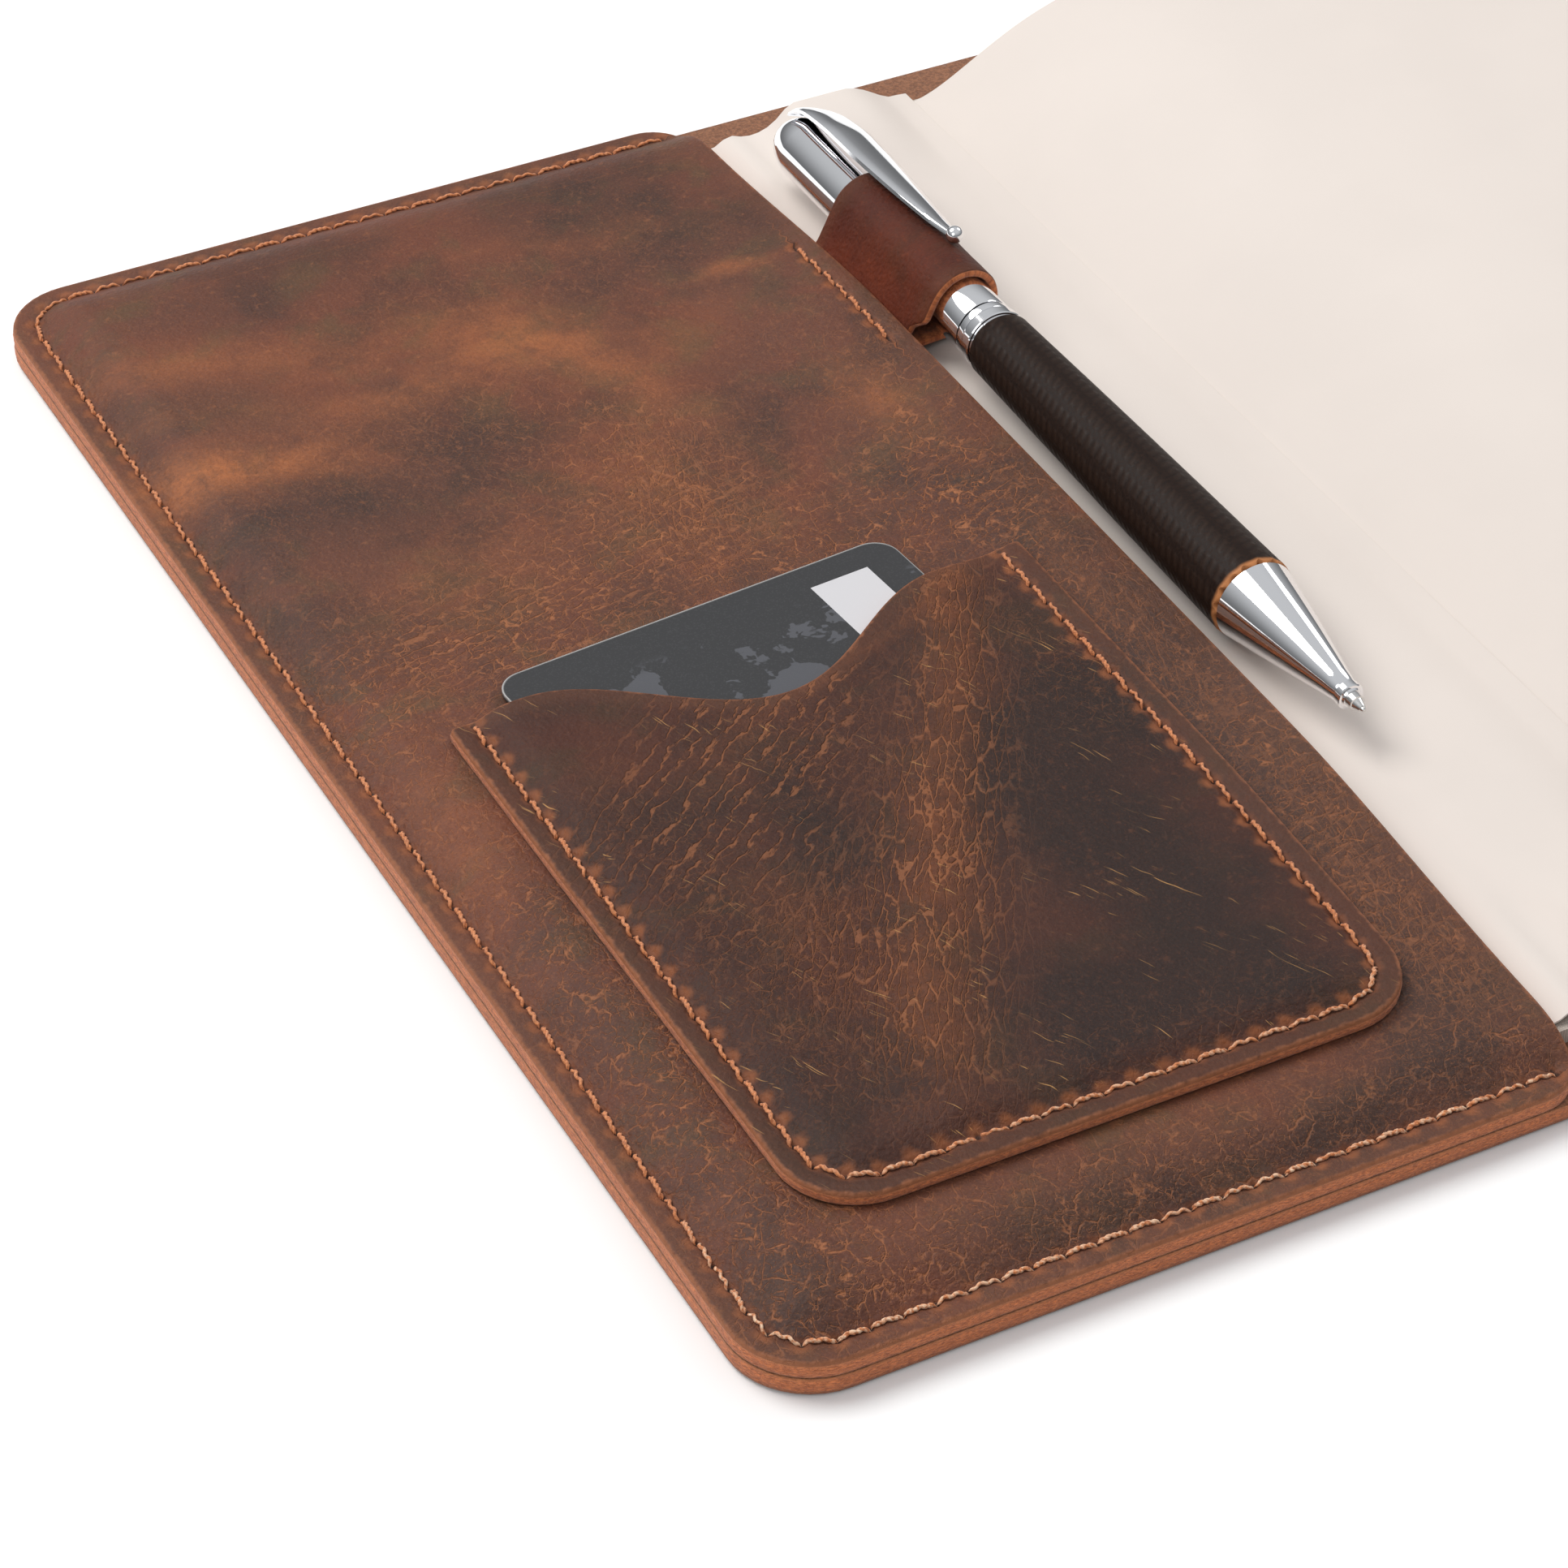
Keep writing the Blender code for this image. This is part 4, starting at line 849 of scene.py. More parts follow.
def sleeve_leather(name):
    """Thin dark leather with embossed rows of slanting scales."""
    g = Graph(name)
    wrap = g.vector("wrap")
    around = g.add("SeparateXYZ", {0: wrap})
    along = g.add("SeparateXYZ", {0: wrap}, output=1)
    row = g.math("FRACT", g.math("DIVIDE", around, 2.6))
    lean = g.math("MULTIPLY_ADD", row, 1.1, along)
    wave = g.math("SINE", g.math("MULTIPLY", lean, 2 * math.pi / 1.45))
    inside_row = g.math("MULTIPLY", g.step(row, 0.10, 0.30), g.step(row, 0.92, 0.72))
    scale = g.math("MULTIPLY", g.math("MULTIPLY_ADD", wave, 0.5, 0.5), inside_row)
    fine = g.noise(wrap, 2.4, 4.0, 0.7)
    color = g.mix(g.step(fine, 0.35, 0.7), (0.009, 0.004, 0.0025), (0.022, 0.010, 0.006))
    color = g.mix(g.math("MULTIPLY", scale, 0.45), color, (0.032, 0.017, 0.011))
    color = g.mix(g.step(g.value("edge"), 0.25, 1.0, 1.0, 0.0), color, (0.50, 0.20, 0.075))
    height = g.math("ADD", g.math("MULTIPLY", scale, 0.8), g.math("MULTIPLY", fine, 0.4))
    return g.finish(color, g.step(fine, 0.3, 0.7, 0.42, 0.60), g.bump(height, 0.12, 0.7),
                    Specular_IOR_Level=0.14)


FLAP_LEATHER = pull_up_leather("flap_leather", 80.0, (0.84, 0.84, 0.84), fan_angle=14.0)
POCKET_LEATHER = pull_up_leather("pocket_leather", 59.0, (0.38, 0.35, 0.36), seed=3.0, scratches=1.3,
                                 shine=0.28, line_strength=0.36)
OUTER_LEATHER = pull_up_leather("outer_leather", 20.0, seed=7.0)
LOOP_LEATHER = pull_up_leather("loop_leather", 20.0, (0.52, 0.27, 0.18), seed=11.0, shine=0.2)
RAW_EDGE = raw_edge("raw_leather_edge")
FLESH = flesh_side("leather_flesh_side")
THREAD = thread_look("waxed_thread")
PAPER = paper_look("endpaper")
LEAVES = leaf_edges("leaf_edges")
CLOTH = board_cloth("board_cloth")
CHROME = metal("chrome", (0.90, 0.90, 0.92), 0.045)
BRASS = metal("turned_brass", (0.78, 0.60, 0.30), 0.22, 0.1)
STEEL = metal("refill_steel", (0.72, 0.71, 0.70), 0.18, 0.08)
CARD = card_look("card_laminate")
SLEEVE = sleeve_leather("pen_sleeve_leather")


# ---------------------------------------------------------------- heights of the layers
def rim_inset(plan):
    """Distance inside the cover's border, with its rounded corners."""
    from_side = HALF_WIDTH - np.abs(plan[:, 0])
    from_end = HALF_LENGTH - np.abs(plan[:, 1])
    corner = CORNER_RADIUS - np.hypot(
        np.maximum(CORNER_RADIUS - from_side, 0), np.maximum(CORNER_RADIUS - from_end, 0)
    )
    return np.where(np.maximum(from_side, from_end) < CORNER_RADIUS, corner, np.minimum(from_side, from_end))


def flap_under(plan, lift):
    """Height of a flap's underside."""
    low = FLAP_LOW[2]
    rise = PAPER_TOP + LEATHER_GAP - low
    climbed = np.maximum(rim_inset(plan) - SEWN_RIM, 0) / RIM_RAMP
    height = low + rise * (1 - np.exp(-(climbed**1.6)))
    across = smooth((LIFT_BAND - (np.abs(plan[:, 0]) - FREE_X)) / LIFT_BAND)
    along = smooth((HALF_LENGTH - np.abs(plan[:, 1]) - LIFT_END) / LIFT_RUN)
    return height + lift * across * along


def front_under(plan):
    return flap_under(plan, FLAP_LIFT)


def back_under(plan):
    return flap_under(plan, 0.0)


def flap_relief(plan):
    """Gentle waves in a flap's face."""
    return 0.22 * rough(plan, 26.0, 21) + 0.05 * rough(plan, 5.0, 25)


def pocket_under(plan):
    """Height of the pocket's underside: on the flap at its seams, over the card inside."""
    rim = front_under(plan) + FLAP_THICK + 0.15
    sideways = np.minimum(plan[:, 0] - POCKET_LOW[0], POCKET_HIGH[0] - plan[:, 0])
    upward = plan[:, 1] - POCKET_LOW[1]
    corner = POCKET_RADIUS - np.hypot(
        np.maximum(POCKET_RADIUS - sideways, 0), np.maximum(POCKET_RADIUS - upward, 0)
    )
    inset = np.where(np.maximum(sideways, upward) < POCKET_RADIUS, corner, np.minimum(sideways, upward))
    over = np.maximum(rim, CARD_HIGH[2] + 0.15)
    climbed = np.maximum(inset - 3.2, 0) / 2.2
    return rim + (over - rim) * (1 - np.exp(-(climbed**1.6)))


FOLD_LINE = np.array(  # the fold pressed into the pocket, from the cover's near left corner
    [(77.5, 107.0), (68.0, 86.0), (57.0, 68.5), (50.0, 57.0), (42.0, 43.0), (36.0, 30.0), (34.0, 22.0)]
)


def pocket_relief(plan):
    """The fold pressed into the pocket, its wrinkles and the card's plateau."""
    local = plan[:, :2] - np.array(NEAR_LEFT)
    distance, _, side = nearest(local, FOLD_LINE, False)
    aside = distance * side
    ridge = 0.55 * np.exp(-((aside / 3.6) ** 2)) - 0.22 * np.exp(-(((aside + 8.5) / 4.5) ** 2))
    waves = np.sin(2 * np.pi * (aside / 1.25 + 0.35 * rough(local, 5.0, 31)))
    wrinkles = 0.07 * waves * np.exp(-((aside / 5.0) ** 2)) * (0.5 + 0.5 * noise(local, 7.0, 33))
    turn = math.radians(55)
    across = local[:, 0] * math.sin(turn) - local[:, 1] * math.cos(turn)
    fan = marks(local, [(37, 86, 20, 11, 55, 1.0), (47, 90, 12, 6, 50, 0.8), (31, 50, 10, 6, 55, 0.6)])
    fan_waves = 0.05 * np.sin(2 * np.pi * (across / 1.35 + 0.4 * rough(local, 4.0, 37))) * fan
    return ridge + wrinkles + fan_waves + 0.16 * rough(local, 16.0, 35)


def level_at(height):
    """An even height over the whole plan."""
    return lambda plan: np.full(len(plan), height)


def thread_bed(under, thick, relief):
    """Height of the leather's face under a line of stitches."""

    def height(plan):
        return under(plan) + thick + relief(plan) * 0.6 - 0.2

    return height


# ---------------------------------------------------------------- seams
def border_path(side, inset, stop):
    """The sewn line round three edges of one half, ending at X = stop on both ends."""
    outer, end = HALF_WIDTH - inset, HALF_LENGTH - inset
    radius = CORNER_RADIUS - inset
    points = [(stop, -end)]
    points += arc((outer - radius, -end + radius), radius, 270, 360).tolist()
    points += arc((outer - radius, end - radius), radius, 0, 90).tolist()
    points.append((stop, end))
    return np.array([(side * x, y) for x, y in points])


def pocket_path():
    """The sewn line down one side of the pocket, along its near end and up the other side."""
    inset = POCKET_SEAM_INSET
    x0, x1 = POCKET_LOW[0] + inset, POCKET_HIGH[0] - inset
    y0, y1 = POCKET_LOW[1] + inset, POCKET_HIGH[1] - 0.6
    radius = POCKET_RADIUS - inset
    points = [(x0, y1)]
    points += arc((x0 + radius, y0 + radius), radius, 180, 270).tolist()
    points += arc((x1 - radius, y0 + radius), radius, 270, 360).tolist()
    points.append((x1, y1))
    return np.array(points)


FRONT_SEAM = Seam(border_path(-1, SEAM_INSET, FREE_X + 3.0))
BACK_SEAM = Seam(border_path(1, SEAM_INSET, FREE_X + 3.0))
POCKET_SEAM = Seam(pocket_path())
LOOP_SEAM_X = -FREE_X - 3.0
LOOP_SEAM = Seam(np.array([(LOOP_SEAM_X, LOOP_LOW[1] + 1.0), (LOOP_SEAM_X, LOOP_HIGH[1] - 1.0)]))


# ---------------------------------------------------------------- leather pieces
SQUARE = 0.02  # radius of a corner that looks square
GRAIN_UP = [FLAP_LEATHER, RAW_EDGE, FLESH]
NEAR_LEFT = (-HALF_WIDTH, -HALF_LENGTH)

# Soft spots on the front flap and the pocket: X and Y of the centre from the cover's near left
# corner, half length, half width, angle from X in degrees, strength.

FLAP_PULL = [
    (11, 168, 15, 5.0, -12, 0.95), (13, 194, 13, 4, -19, 0.38), (56, 177, 12, 7, -34, 0.62),
    (41, 173, 12, 4, 8, 0.38), (89, 143, 8, 4, -80, 0.45), (64, 162, 12, 4, -71, 0.30),
    (87, 179, 5, 1.5, -7, 0.55), (9, 92, 13, 4, -95, 0.30), (93, 49, 30, 3.0, 90, 0.14),
    (30, 132, 16, 8, 25, 0.20), (56, 140, 16, 9, 85, 0.22), (50, 12, 40, 5, 2, 0.10),
    (74, 168, 10, 5, 30, 0.20), (28, 186, 14, 5, -12, 0.25), (93, 108, 22, 3, 90, 0.16),
    (20, 178, 26, 3, -20, 0.25), (70, 196, 20, 3, -10, 0.15),
]
FLAP_DARK = [
    (12, 182, 12, 4.5, -20, 0.65), (24, 154, 16, 8, -30, 0.75), (80, 197, 17, 10, -50, 0.75),
    (7, 10, 12, 8, -60, 0.5), (30, 200, 12, 6, 0, 0.30), (78, 150, 10, 8, 0, 0.45),
    (40, 118, 14, 6, 20, 0.2), (7, 145, 5, 20, 0, 0.35), (60, 6, 30, 4, 0, 0.4), (40, 160, 12, 5, 0, 0.4),
    (92, 58, 9, 34, 0, 1.15), (90, 16, 12, 14, 0, 0.65), (60, 9, 24, 6, 0, 0.35), (91, 112, 10, 28, 0, 0.80),
]
FLAP_CRACK = [
    (56, 139, 22, 15, 85, 1.25), (27, 122, 24, 12, 18, 1.15), (93, 50, 52, 8, 90, 0.95),
    (10, 70, 60, 6, 90, 0.65), (90, 130, 30, 9, 90, 0.8), (45, 8, 44, 7, 0, 0.9), (74, 120, 18, 11, 0, 0.9),
    (12, 30, 12, 40, 0, 0.6), (30, 165, 26, 10, 0, 0.35), (60, 190, 30, 10, 0, 0.30),
]
FLAP_FAN = [
    (30, 122, 22, 9, 12, 0.9), (58, 137, 14, 12, 85, 0.6), (90, 118, 16, 7, 90, 0.5),
    (92, 40, 30, 5, 90, 0.5),
]
FLAP_CREASE = [(58, 137, 15, 9, 85, 0.75), (92, 30, 22, 5, 90, 0.45), (92, 80, 22, 4, 90, 0.35)]

POCKET_PULL = [
    (74, 97, 14, 3.2, -118, 0.55), (60, 73, 18, 3.2, -122, 0.60), (47, 51, 16, 3.6, -120, 0.55),
    (38, 34, 11, 4.5, -108, 0.50), (77, 105, 7, 3, -100, 0.45), (40, 86, 15, 6, -140, 0.16),
    (32, 58, 11, 4.5, -93, 0.22), (26, 90, 10, 5, -120, 0.14), (60, 95, 20, 1.2, 20, 0.35),
]
POCKET_DARK = [
    (43, 70, 12, 7, 90, 0.9), (70, 46, 20, 10, 92, 1.1), (22, 38, 9, 14, 0, 0.35), (80, 78, 8, 14, 0, 0.8),
    (56, 30, 16, 7, 0, 0.7), (28, 76, 9, 6, 50, 0.35), (72, 70, 8, 12, 0, 0.6), (60, 24, 24, 5, 0, 0.5),
]
POCKET_CRACK = [
    (32, 50, 12, 8, -130, 1.0), (80, 84, 7, 15, 0, 0.65), (24, 60, 8, 26, 0, 0.7), (50, 82, 12, 10, 0, 0.75),
    (60, 22, 22, 6, 0, 0.4), (30, 30, 12, 8, 0, 0.5),
]
POCKET_FAN = [
    (38, 84, 19, 10, 37, 1.4), (47, 90, 13, 7, 40, 1.3), (30, 76, 14, 9, 37, 0.8), (36, 62, 16, 8, 37, 0.5),
]
POCKET_CREASE = [
    (74, 96, 14, 4.6, -118, 1.3),
    (59, 71, 18, 6.0, -122, 1.5), (45, 50, 16, 7.0, -120, 1.4), (37, 32, 10, 6.5, -108, 1.0),
    (33, 52, 12, 6, -125, 0.9),
]


def scattered(seed, count, area, long, wide, strength):
    """A table of spots at seeded places over an area, for leather that has no marks of its own."""
    rng = np.random.default_rng(seed)
    rows = []
    for _ in range(count):
        x, y = rng.uniform(area[0], area[2]), rng.uniform(area[1], area[3])
        size = rng.uniform(0.5, 1.3)
        rows.append((x, y, long * size, wide * size, rng.uniform(-90, 90), strength * rng.uniform(0.4, 1.1)))
    return rows


def outer_cover():
    """The outer leather: two sheets that meet along the middle of the spine."""
    made = []
    for side, name, seam in ((-1, "outer_cover_front", FRONT_SEAM), (1, "outer_cover_back", BACK_SEAM)):
        radii = (CORNER_RADIUS, SQUARE, SQUARE, CORNER_RADIUS)
        outline = rounded_rectangle(-HALF_WIDTH, -HALF_LENGTH, 0.0, HALF_LENGTH, radii)
        if side > 0:
            outline = np.array([(-x, y) for x, y in outline[::-1]])

        looks = [FLESH, RAW_EDGE, OUTER_LEATHER]
        piece = leather(name, outline, level_at(0.02), BOARD_LOW[2] - 0.05, 3.0, looks, flush=0.0,
                        under_seams=(seam,), rounding=0.10, low_rounding=0.40, back_step=1.7)
        reach = (min(side, 0) * HALF_WIDTH, -HALF_LENGTH, max(side, 0) * HALF_WIDTH, HALF_LENGTH)
        both = (-HALF_WIDTH, -HALF_LENGTH, HALF_WIDTH, HALF_LENGTH)
        paint(
            piece,
            pull=scattered(3, 26, both, 20, 7, 0.7) + [(0, 0, 150, 6, 90, 0.35)],
            dark=scattered(4, 22, both, 22, 10, 0.7),
            crack=scattered(5, 26, both, 30, 14, 0.8),
            crease=[(0, 0, 150, 9, 90, 0.9)] + scattered(6, 6, reach, 24, 5, 0.6),
        )
        made.append(piece)
    front, back = made
    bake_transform(front)
    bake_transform(back)
    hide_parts("cover_front_panel", "cover_spine_panel")
    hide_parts("cover_back_panel")


def inner_flaps():
    """The two inner leather flaps, sewn to the cover on three sides."""
    outer, inner = CORNER_RADIUS, FLAP_CORNER_RADIUS
    radii = (outer, inner, inner, outer)
    outline = rounded_rectangle(-HALF_WIDTH, -HALF_LENGTH, -FREE_X, HALF_LENGTH, radii)
    front = leather("front_flap_leather", outline, front_under, FLAP_THICK, 1.15, GRAIN_UP,
                    (FRONT_SEAM, LOOP_SEAM), flap_relief)
    paint(front, FLAP_PULL, FLAP_DARK, FLAP_CRACK, FLAP_CREASE, FLAP_FAN, NEAR_LEFT)
    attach(front, "front_half")
    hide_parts("front_flap")

    outline = np.array([(-x, y) for x, y in outline[::-1]])
    back = leather("back_flap_leather", outline, back_under, FLAP_THICK, 1.7, GRAIN_UP,
                   (BACK_SEAM,), flap_relief)
    area = (FREE_X, -HALF_LENGTH, HALF_WIDTH, HALF_LENGTH)
    paint(back, scattered(8, 14, area, 16, 6, 0.8), scattered(9, 12, area, 16, 9, 0.7),
          scattered(10, 14, area, 24, 12, 0.9))
    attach(back, "root")
    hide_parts("back_flap")


def pocket_outline():
    """The pocket in plan, with rounded near corners and a thumb notch in its mouth."""
    x0, y0 = POCKET_LOW[:2]
    x1, y1 = POCKET_HIGH[:2]
    radius = POCKET_RADIUS
    middle = (x0 + x1) / 2 + NOTCH_SHIFT
    share = np.linspace(0, 1, 41)
    notch_x = middle + NOTCH_WIDTH * (0.5 - share)
    notch_y = y1 - NOTCH_DEPTH * (1 - np.cos(2 * np.pi * share)) / 2
    return np.vstack([
        arc((x0 + radius, y0 + radius), radius, 180, 270),
        arc((x1 - radius, y0 + radius), radius, 270, 360),
        arc((x1 - MOUTH_RADIUS, y1 - MOUTH_RADIUS), MOUTH_RADIUS, 0, 90, 3),
        np.stack([notch_x, notch_y], axis=1),
        arc((x0 + MOUTH_RADIUS, y1 - MOUTH_RADIUS), MOUTH_RADIUS, 90, 180, 3),
    ])


def card_pocket():
    """The card pocket on the front flap."""
    looks = [POCKET_LEATHER, RAW_EDGE, FLESH]
    pocket = leather("card_pocket_leather", pocket_outline(), pocket_under, POCKET_THICK, 0.62, looks,
                     (POCKET_SEAM,), pocket_relief)
    paint(pocket, POCKET_PULL, POCKET_DARK, POCKET_CRACK, POCKET_CREASE, POCKET_FAN, NEAR_LEFT, wander=1.6)
    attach(pocket, "front_half")
    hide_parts("card_pocket")


def sewing():
    """All the thread: on the inner faces, and where it comes out on the outer face."""
    front = thread_bed(front_under, FLAP_THICK, flap_relief)
    back = thread_bed(back_under, FLAP_THICK, flap_relief)
    pocket = thread_bed(pocket_under, POCKET_THICK, level_at(0.0))

    # painted highlight: the stitches grow pale towards the cover's near end, with a little paleness all along
    def pale_and_near_end_highlight(plan):
        return smooth((-plan[:, 1] - HALF_LENGTH + 26) / 14) * 0.9 + 0.12

    outside = level_at(0.27)
    rows = (
        ("front_seam_stitches", FRONT_SEAM, front, "front_half", "front_seam", 1.0),
        ("back_seam_stitches", BACK_SEAM, back, "root", "back_seam", 1.0),
        ("pocket_stitches", POCKET_SEAM, pocket, "front_half", "pocket_seam", 1.0),
        ("loop_stitches", LOOP_SEAM, front, "front_half", "loop_seam", 1.0),
        ("front_seam_outer_stitches", FRONT_SEAM, outside, "front_half", None, -1.0),
        ("back_seam_outer_stitches", BACK_SEAM, outside, "root", None, -1.0),
    )
    for name, seam, height, body, node, flip in rows:
        made = twisted_thread(name, seam, height, flip, pale_and_near_end_highlight)
        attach(made, body)
        if node:
            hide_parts(node)


def pen_loop():
    """The leather loop: a band that closes on the pen, with two tails under the flap's edge."""
    middle = CAP_RADIUS + 0.2 + LOOP_THICK / 2
    center = np.array([PEN_X, PEN_Z])
    root = np.array([-FREE_X, PAPER_TOP + FLAP_LIFT - 0.6])
    gap = root - center
    reach = np.linalg.norm(gap)
    bearing = math.degrees(math.atan2(gap[1], gap[0]))
    lean = math.degrees(math.acos(middle / reach))
    circle = arc(center, middle, bearing - lean + 360, bearing + lean, 64)
    tail = 8.0
    upper = root + np.array([0.0, LOOP_THICK / 2 + 0.05])
    lower = root - np.array([0.0, LOOP_THICK / 2 + 0.05])
    path = np.vstack([[upper - (tail, 0)], [upper], circle, [lower], [lower - (tail, 0)]])
    path = subdivide(path, 0.8, closed=False)
    for _ in range(4):
        path[1:-1] = (path[:-2] + 2 * path[1:-1] + path[2:]) / 4
    run = np.gradient(path, axis=0)
    run /= np.linalg.norm(run, axis=1)[:, None]
    out = np.stack([-run[:, 1], run[:, 0]], axis=1)
    if np.dot(out[len(path) // 2], path[len(path) // 2] - center) < 0:
        out = -out

    half = LOOP_THICK / 2
    near, far = LOOP_LOW[1], LOOP_HIGH[1]
    lengthwise = np.linspace(near + 0.35, far - 0.35, 20)
    rim = 0.35
    section = [(half, y) for y in lengthwise]
    section += [(half - rim * (1 - math.cos(turn)), far - rim + rim * math.sin(turn)) for turn in (0.8, 1.3)]
    section += [(0.0, far + 0.04), (-half + 0.15, far - 0.02)]
    section += [(-half, y) for y in lengthwise[::-3]]
    section += [(-half + 0.15, near + 0.02), (0.0, near - 0.04)]
    section += [(half - rim * (1 - math.cos(turn)), near + rim - rim * math.sin(turn)) for turn in (1.3, 0.8)]
    section = np.array(section)
    count = len(section)
    steps = len(path)
    arc_length = np.concatenate([[0], np.cumsum(np.linalg.norm(np.diff(path, axis=0), axis=1))])
    points, edge, level = [], [], []
    for index in range(steps):
        local = section.copy()
        plan = np.stack([np.full(count, arc_length[index]), local[:, 1]], axis=1)
        local[:, 0] += 0.07 * rough(plan, 6.0, 61) * (local[:, 0] > 0)
        slant = 0.1 * (path[index][0] - PEN_X)
        local[:, 1] += 2.2 * smooth((PEN_Z - path[index][1]) / 2.0) * (far - local[:, 1]) / (far - near)
        ring = np.column_stack(
            [path[index][0] + out[index][0] * local[:, 0], local[:, 1] + slant,
             path[index][1] + out[index][1] * local[:, 0]]
        )
        points.append(ring)
        edge.append(np.minimum(local[:, 1] - near, far - local[:, 1]) + 0.35)
        level.append((local[:, 0] + half) / LOOP_THICK)
    points = np.vstack(points)
    on_grain = section[:, 0] >= half - 0.2
    slots = np.where(on_grain & np.roll(on_grain, -1), 0, 1).tolist() * (steps - 1) + [1, 1]
    made = new_object("pen_loop_leather", points, ring_faces(steps, count), [LOOP_LEATHER, RAW_EDGE], slots)
    recalculate(made)
    flat = np.column_stack([np.repeat(arc_length, count), points[:, 1], points[:, 2] * 0])
    rest = made.data.attributes["rest"]
    rest.data.foreach_set("vector", flat.astype(np.float32).ravel())
    add_attribute(made, "edge", np.maximum(np.concatenate(edge), 0))
    add_attribute(made, "level", np.clip(np.concatenate(level), 0, 1))
    stitch = np.zeros((len(points), 3))
    stitch[:, 1] = 9.0
    add_attribute(made, "stitch", stitch)
    table = [(14, 50, 6, 14, 0, 0.25), (10, 60, 3, 20, 0, 0.25)]
    for key, rows in (("pull", table), ("dark", [(20, 55, 8, 20, 0, 0.3)]), ("crack", []), ("crease", [])):
        add_attribute(made, key, np.clip(marks(flat, rows, 2.0, 5), 0, 1.5))
    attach(made, "front_half")
    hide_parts("pen_loop")


def recalculate(piece):
    """Turn a closed mesh's faces outwards."""
    edit = bmesh.new()
    edit.from_mesh(piece.data)
    bmesh.ops.recalc_face_normals(edit, faces=edit.faces)
    edit.to_mesh(piece.data)
    edit.free()


# ---------------------------------------------------------------- card
def card():
    """The card: a thin laminate with rounded corners and a pale core at its edge."""
    across = np.array([math.cos(CARD_TILT), math.sin(CARD_TILT)])
    out = np.array([-math.sin(CARD_TILT), math.cos(CARD_TILT)])
    corner = np.array([CARD_LOW[0], CARD_HIGH[1] - CARD_WIDTH * math.sin(CARD_TILT)])
    outline = rounded_rectangle(0, -CARD_HEIGHT, CARD_WIDTH, 0, (CARD_RADIUS,) * 4)
    outline = subdivide(outline, 2.0)
    count = len(outline)
    low, high = CARD_LOW[2], CARD_HIGH[2]
    inward = outline.mean(0) - outline
    inward /= np.linalg.norm(inward, axis=1)[:, None]
    rows = [
        (0.5, low), (0.06, low), (0.0, low + 0.08), (0.0, high - 0.08), (0.02, high - 0.02), (0.07, high),
        (0.5, high),
    ]
    plan = np.vstack([outline + inward * inset for inset, _ in rows])
    world = corner + plan[:, :1] * across + plan[:, 1:] * out
    points = np.column_stack([world, np.repeat([z for _, z in rows], count)])
    made = new_object("card_laminate", points, ring_faces(len(rows), count), [CARD], sharp=40)
    recalculate(made)
    add_attribute(made, "card", np.column_stack([plan[:, 0], -plan[:, 1], plan[:, 0] * 0]))
    rim = [inset if z > (low + high) / 2 else 0.5 for inset, z in rows]
    add_attribute(made, "rim", np.repeat(rim, count))
    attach(made, "card")
    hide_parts("card")


# ---------------------------------------------------------------- notebook
def cube_surface(counts):
    """Welded grid points over a unit cube's surface, and its quads facing out."""
    points, faces, index = [], [], {}

    def corner(place):
        key = tuple(place)
        if key not in index:
            index[key] = len(points)
            points.append([key[axis] / counts[axis] for axis in range(3)])
        return index[key]

    for axis in range(3):
        first, second = (axis + 1) % 3, (axis + 2) % 3
        for end in (0, counts[axis]):
            for i in range(counts[first]):
                for j in range(counts[second]):
                    quad = []
                    for di, dj in ((0, 0), (1, 0), (1, 1), (0, 1)):
                        place = [0, 0, 0]
                        place[axis], place[first], place[second] = end, i + di, j + dj
                        quad.append(corner(place))
                    faces.append(quad if end else quad[::-1])
    return np.array(points), faces


def end_curl(y):
    """0 along most of the spine, 1 at both ends of the leaves, which curl up there."""
    return smooth((np.abs(y) - (BLOCK_HIGH[1] - 22.0)) / 20.0)


def page_top(x):
    """Height of the uppermost page: it climbs out of the gutter and levels out."""
    start = PAPER_TOP + PAPER_THICK
    thick = BLOCK_HIGH[2] - start
    out = np.maximum(0.0, x + FOLD_X)
    climb = out - GUTTER_SOFTNESS * (1 - np.exp(-out / GUTTER_SOFTNESS))
    return start + 0.1 + (thick - 0.1) * np.tanh(PAGE_SLOPE * climb / thick)


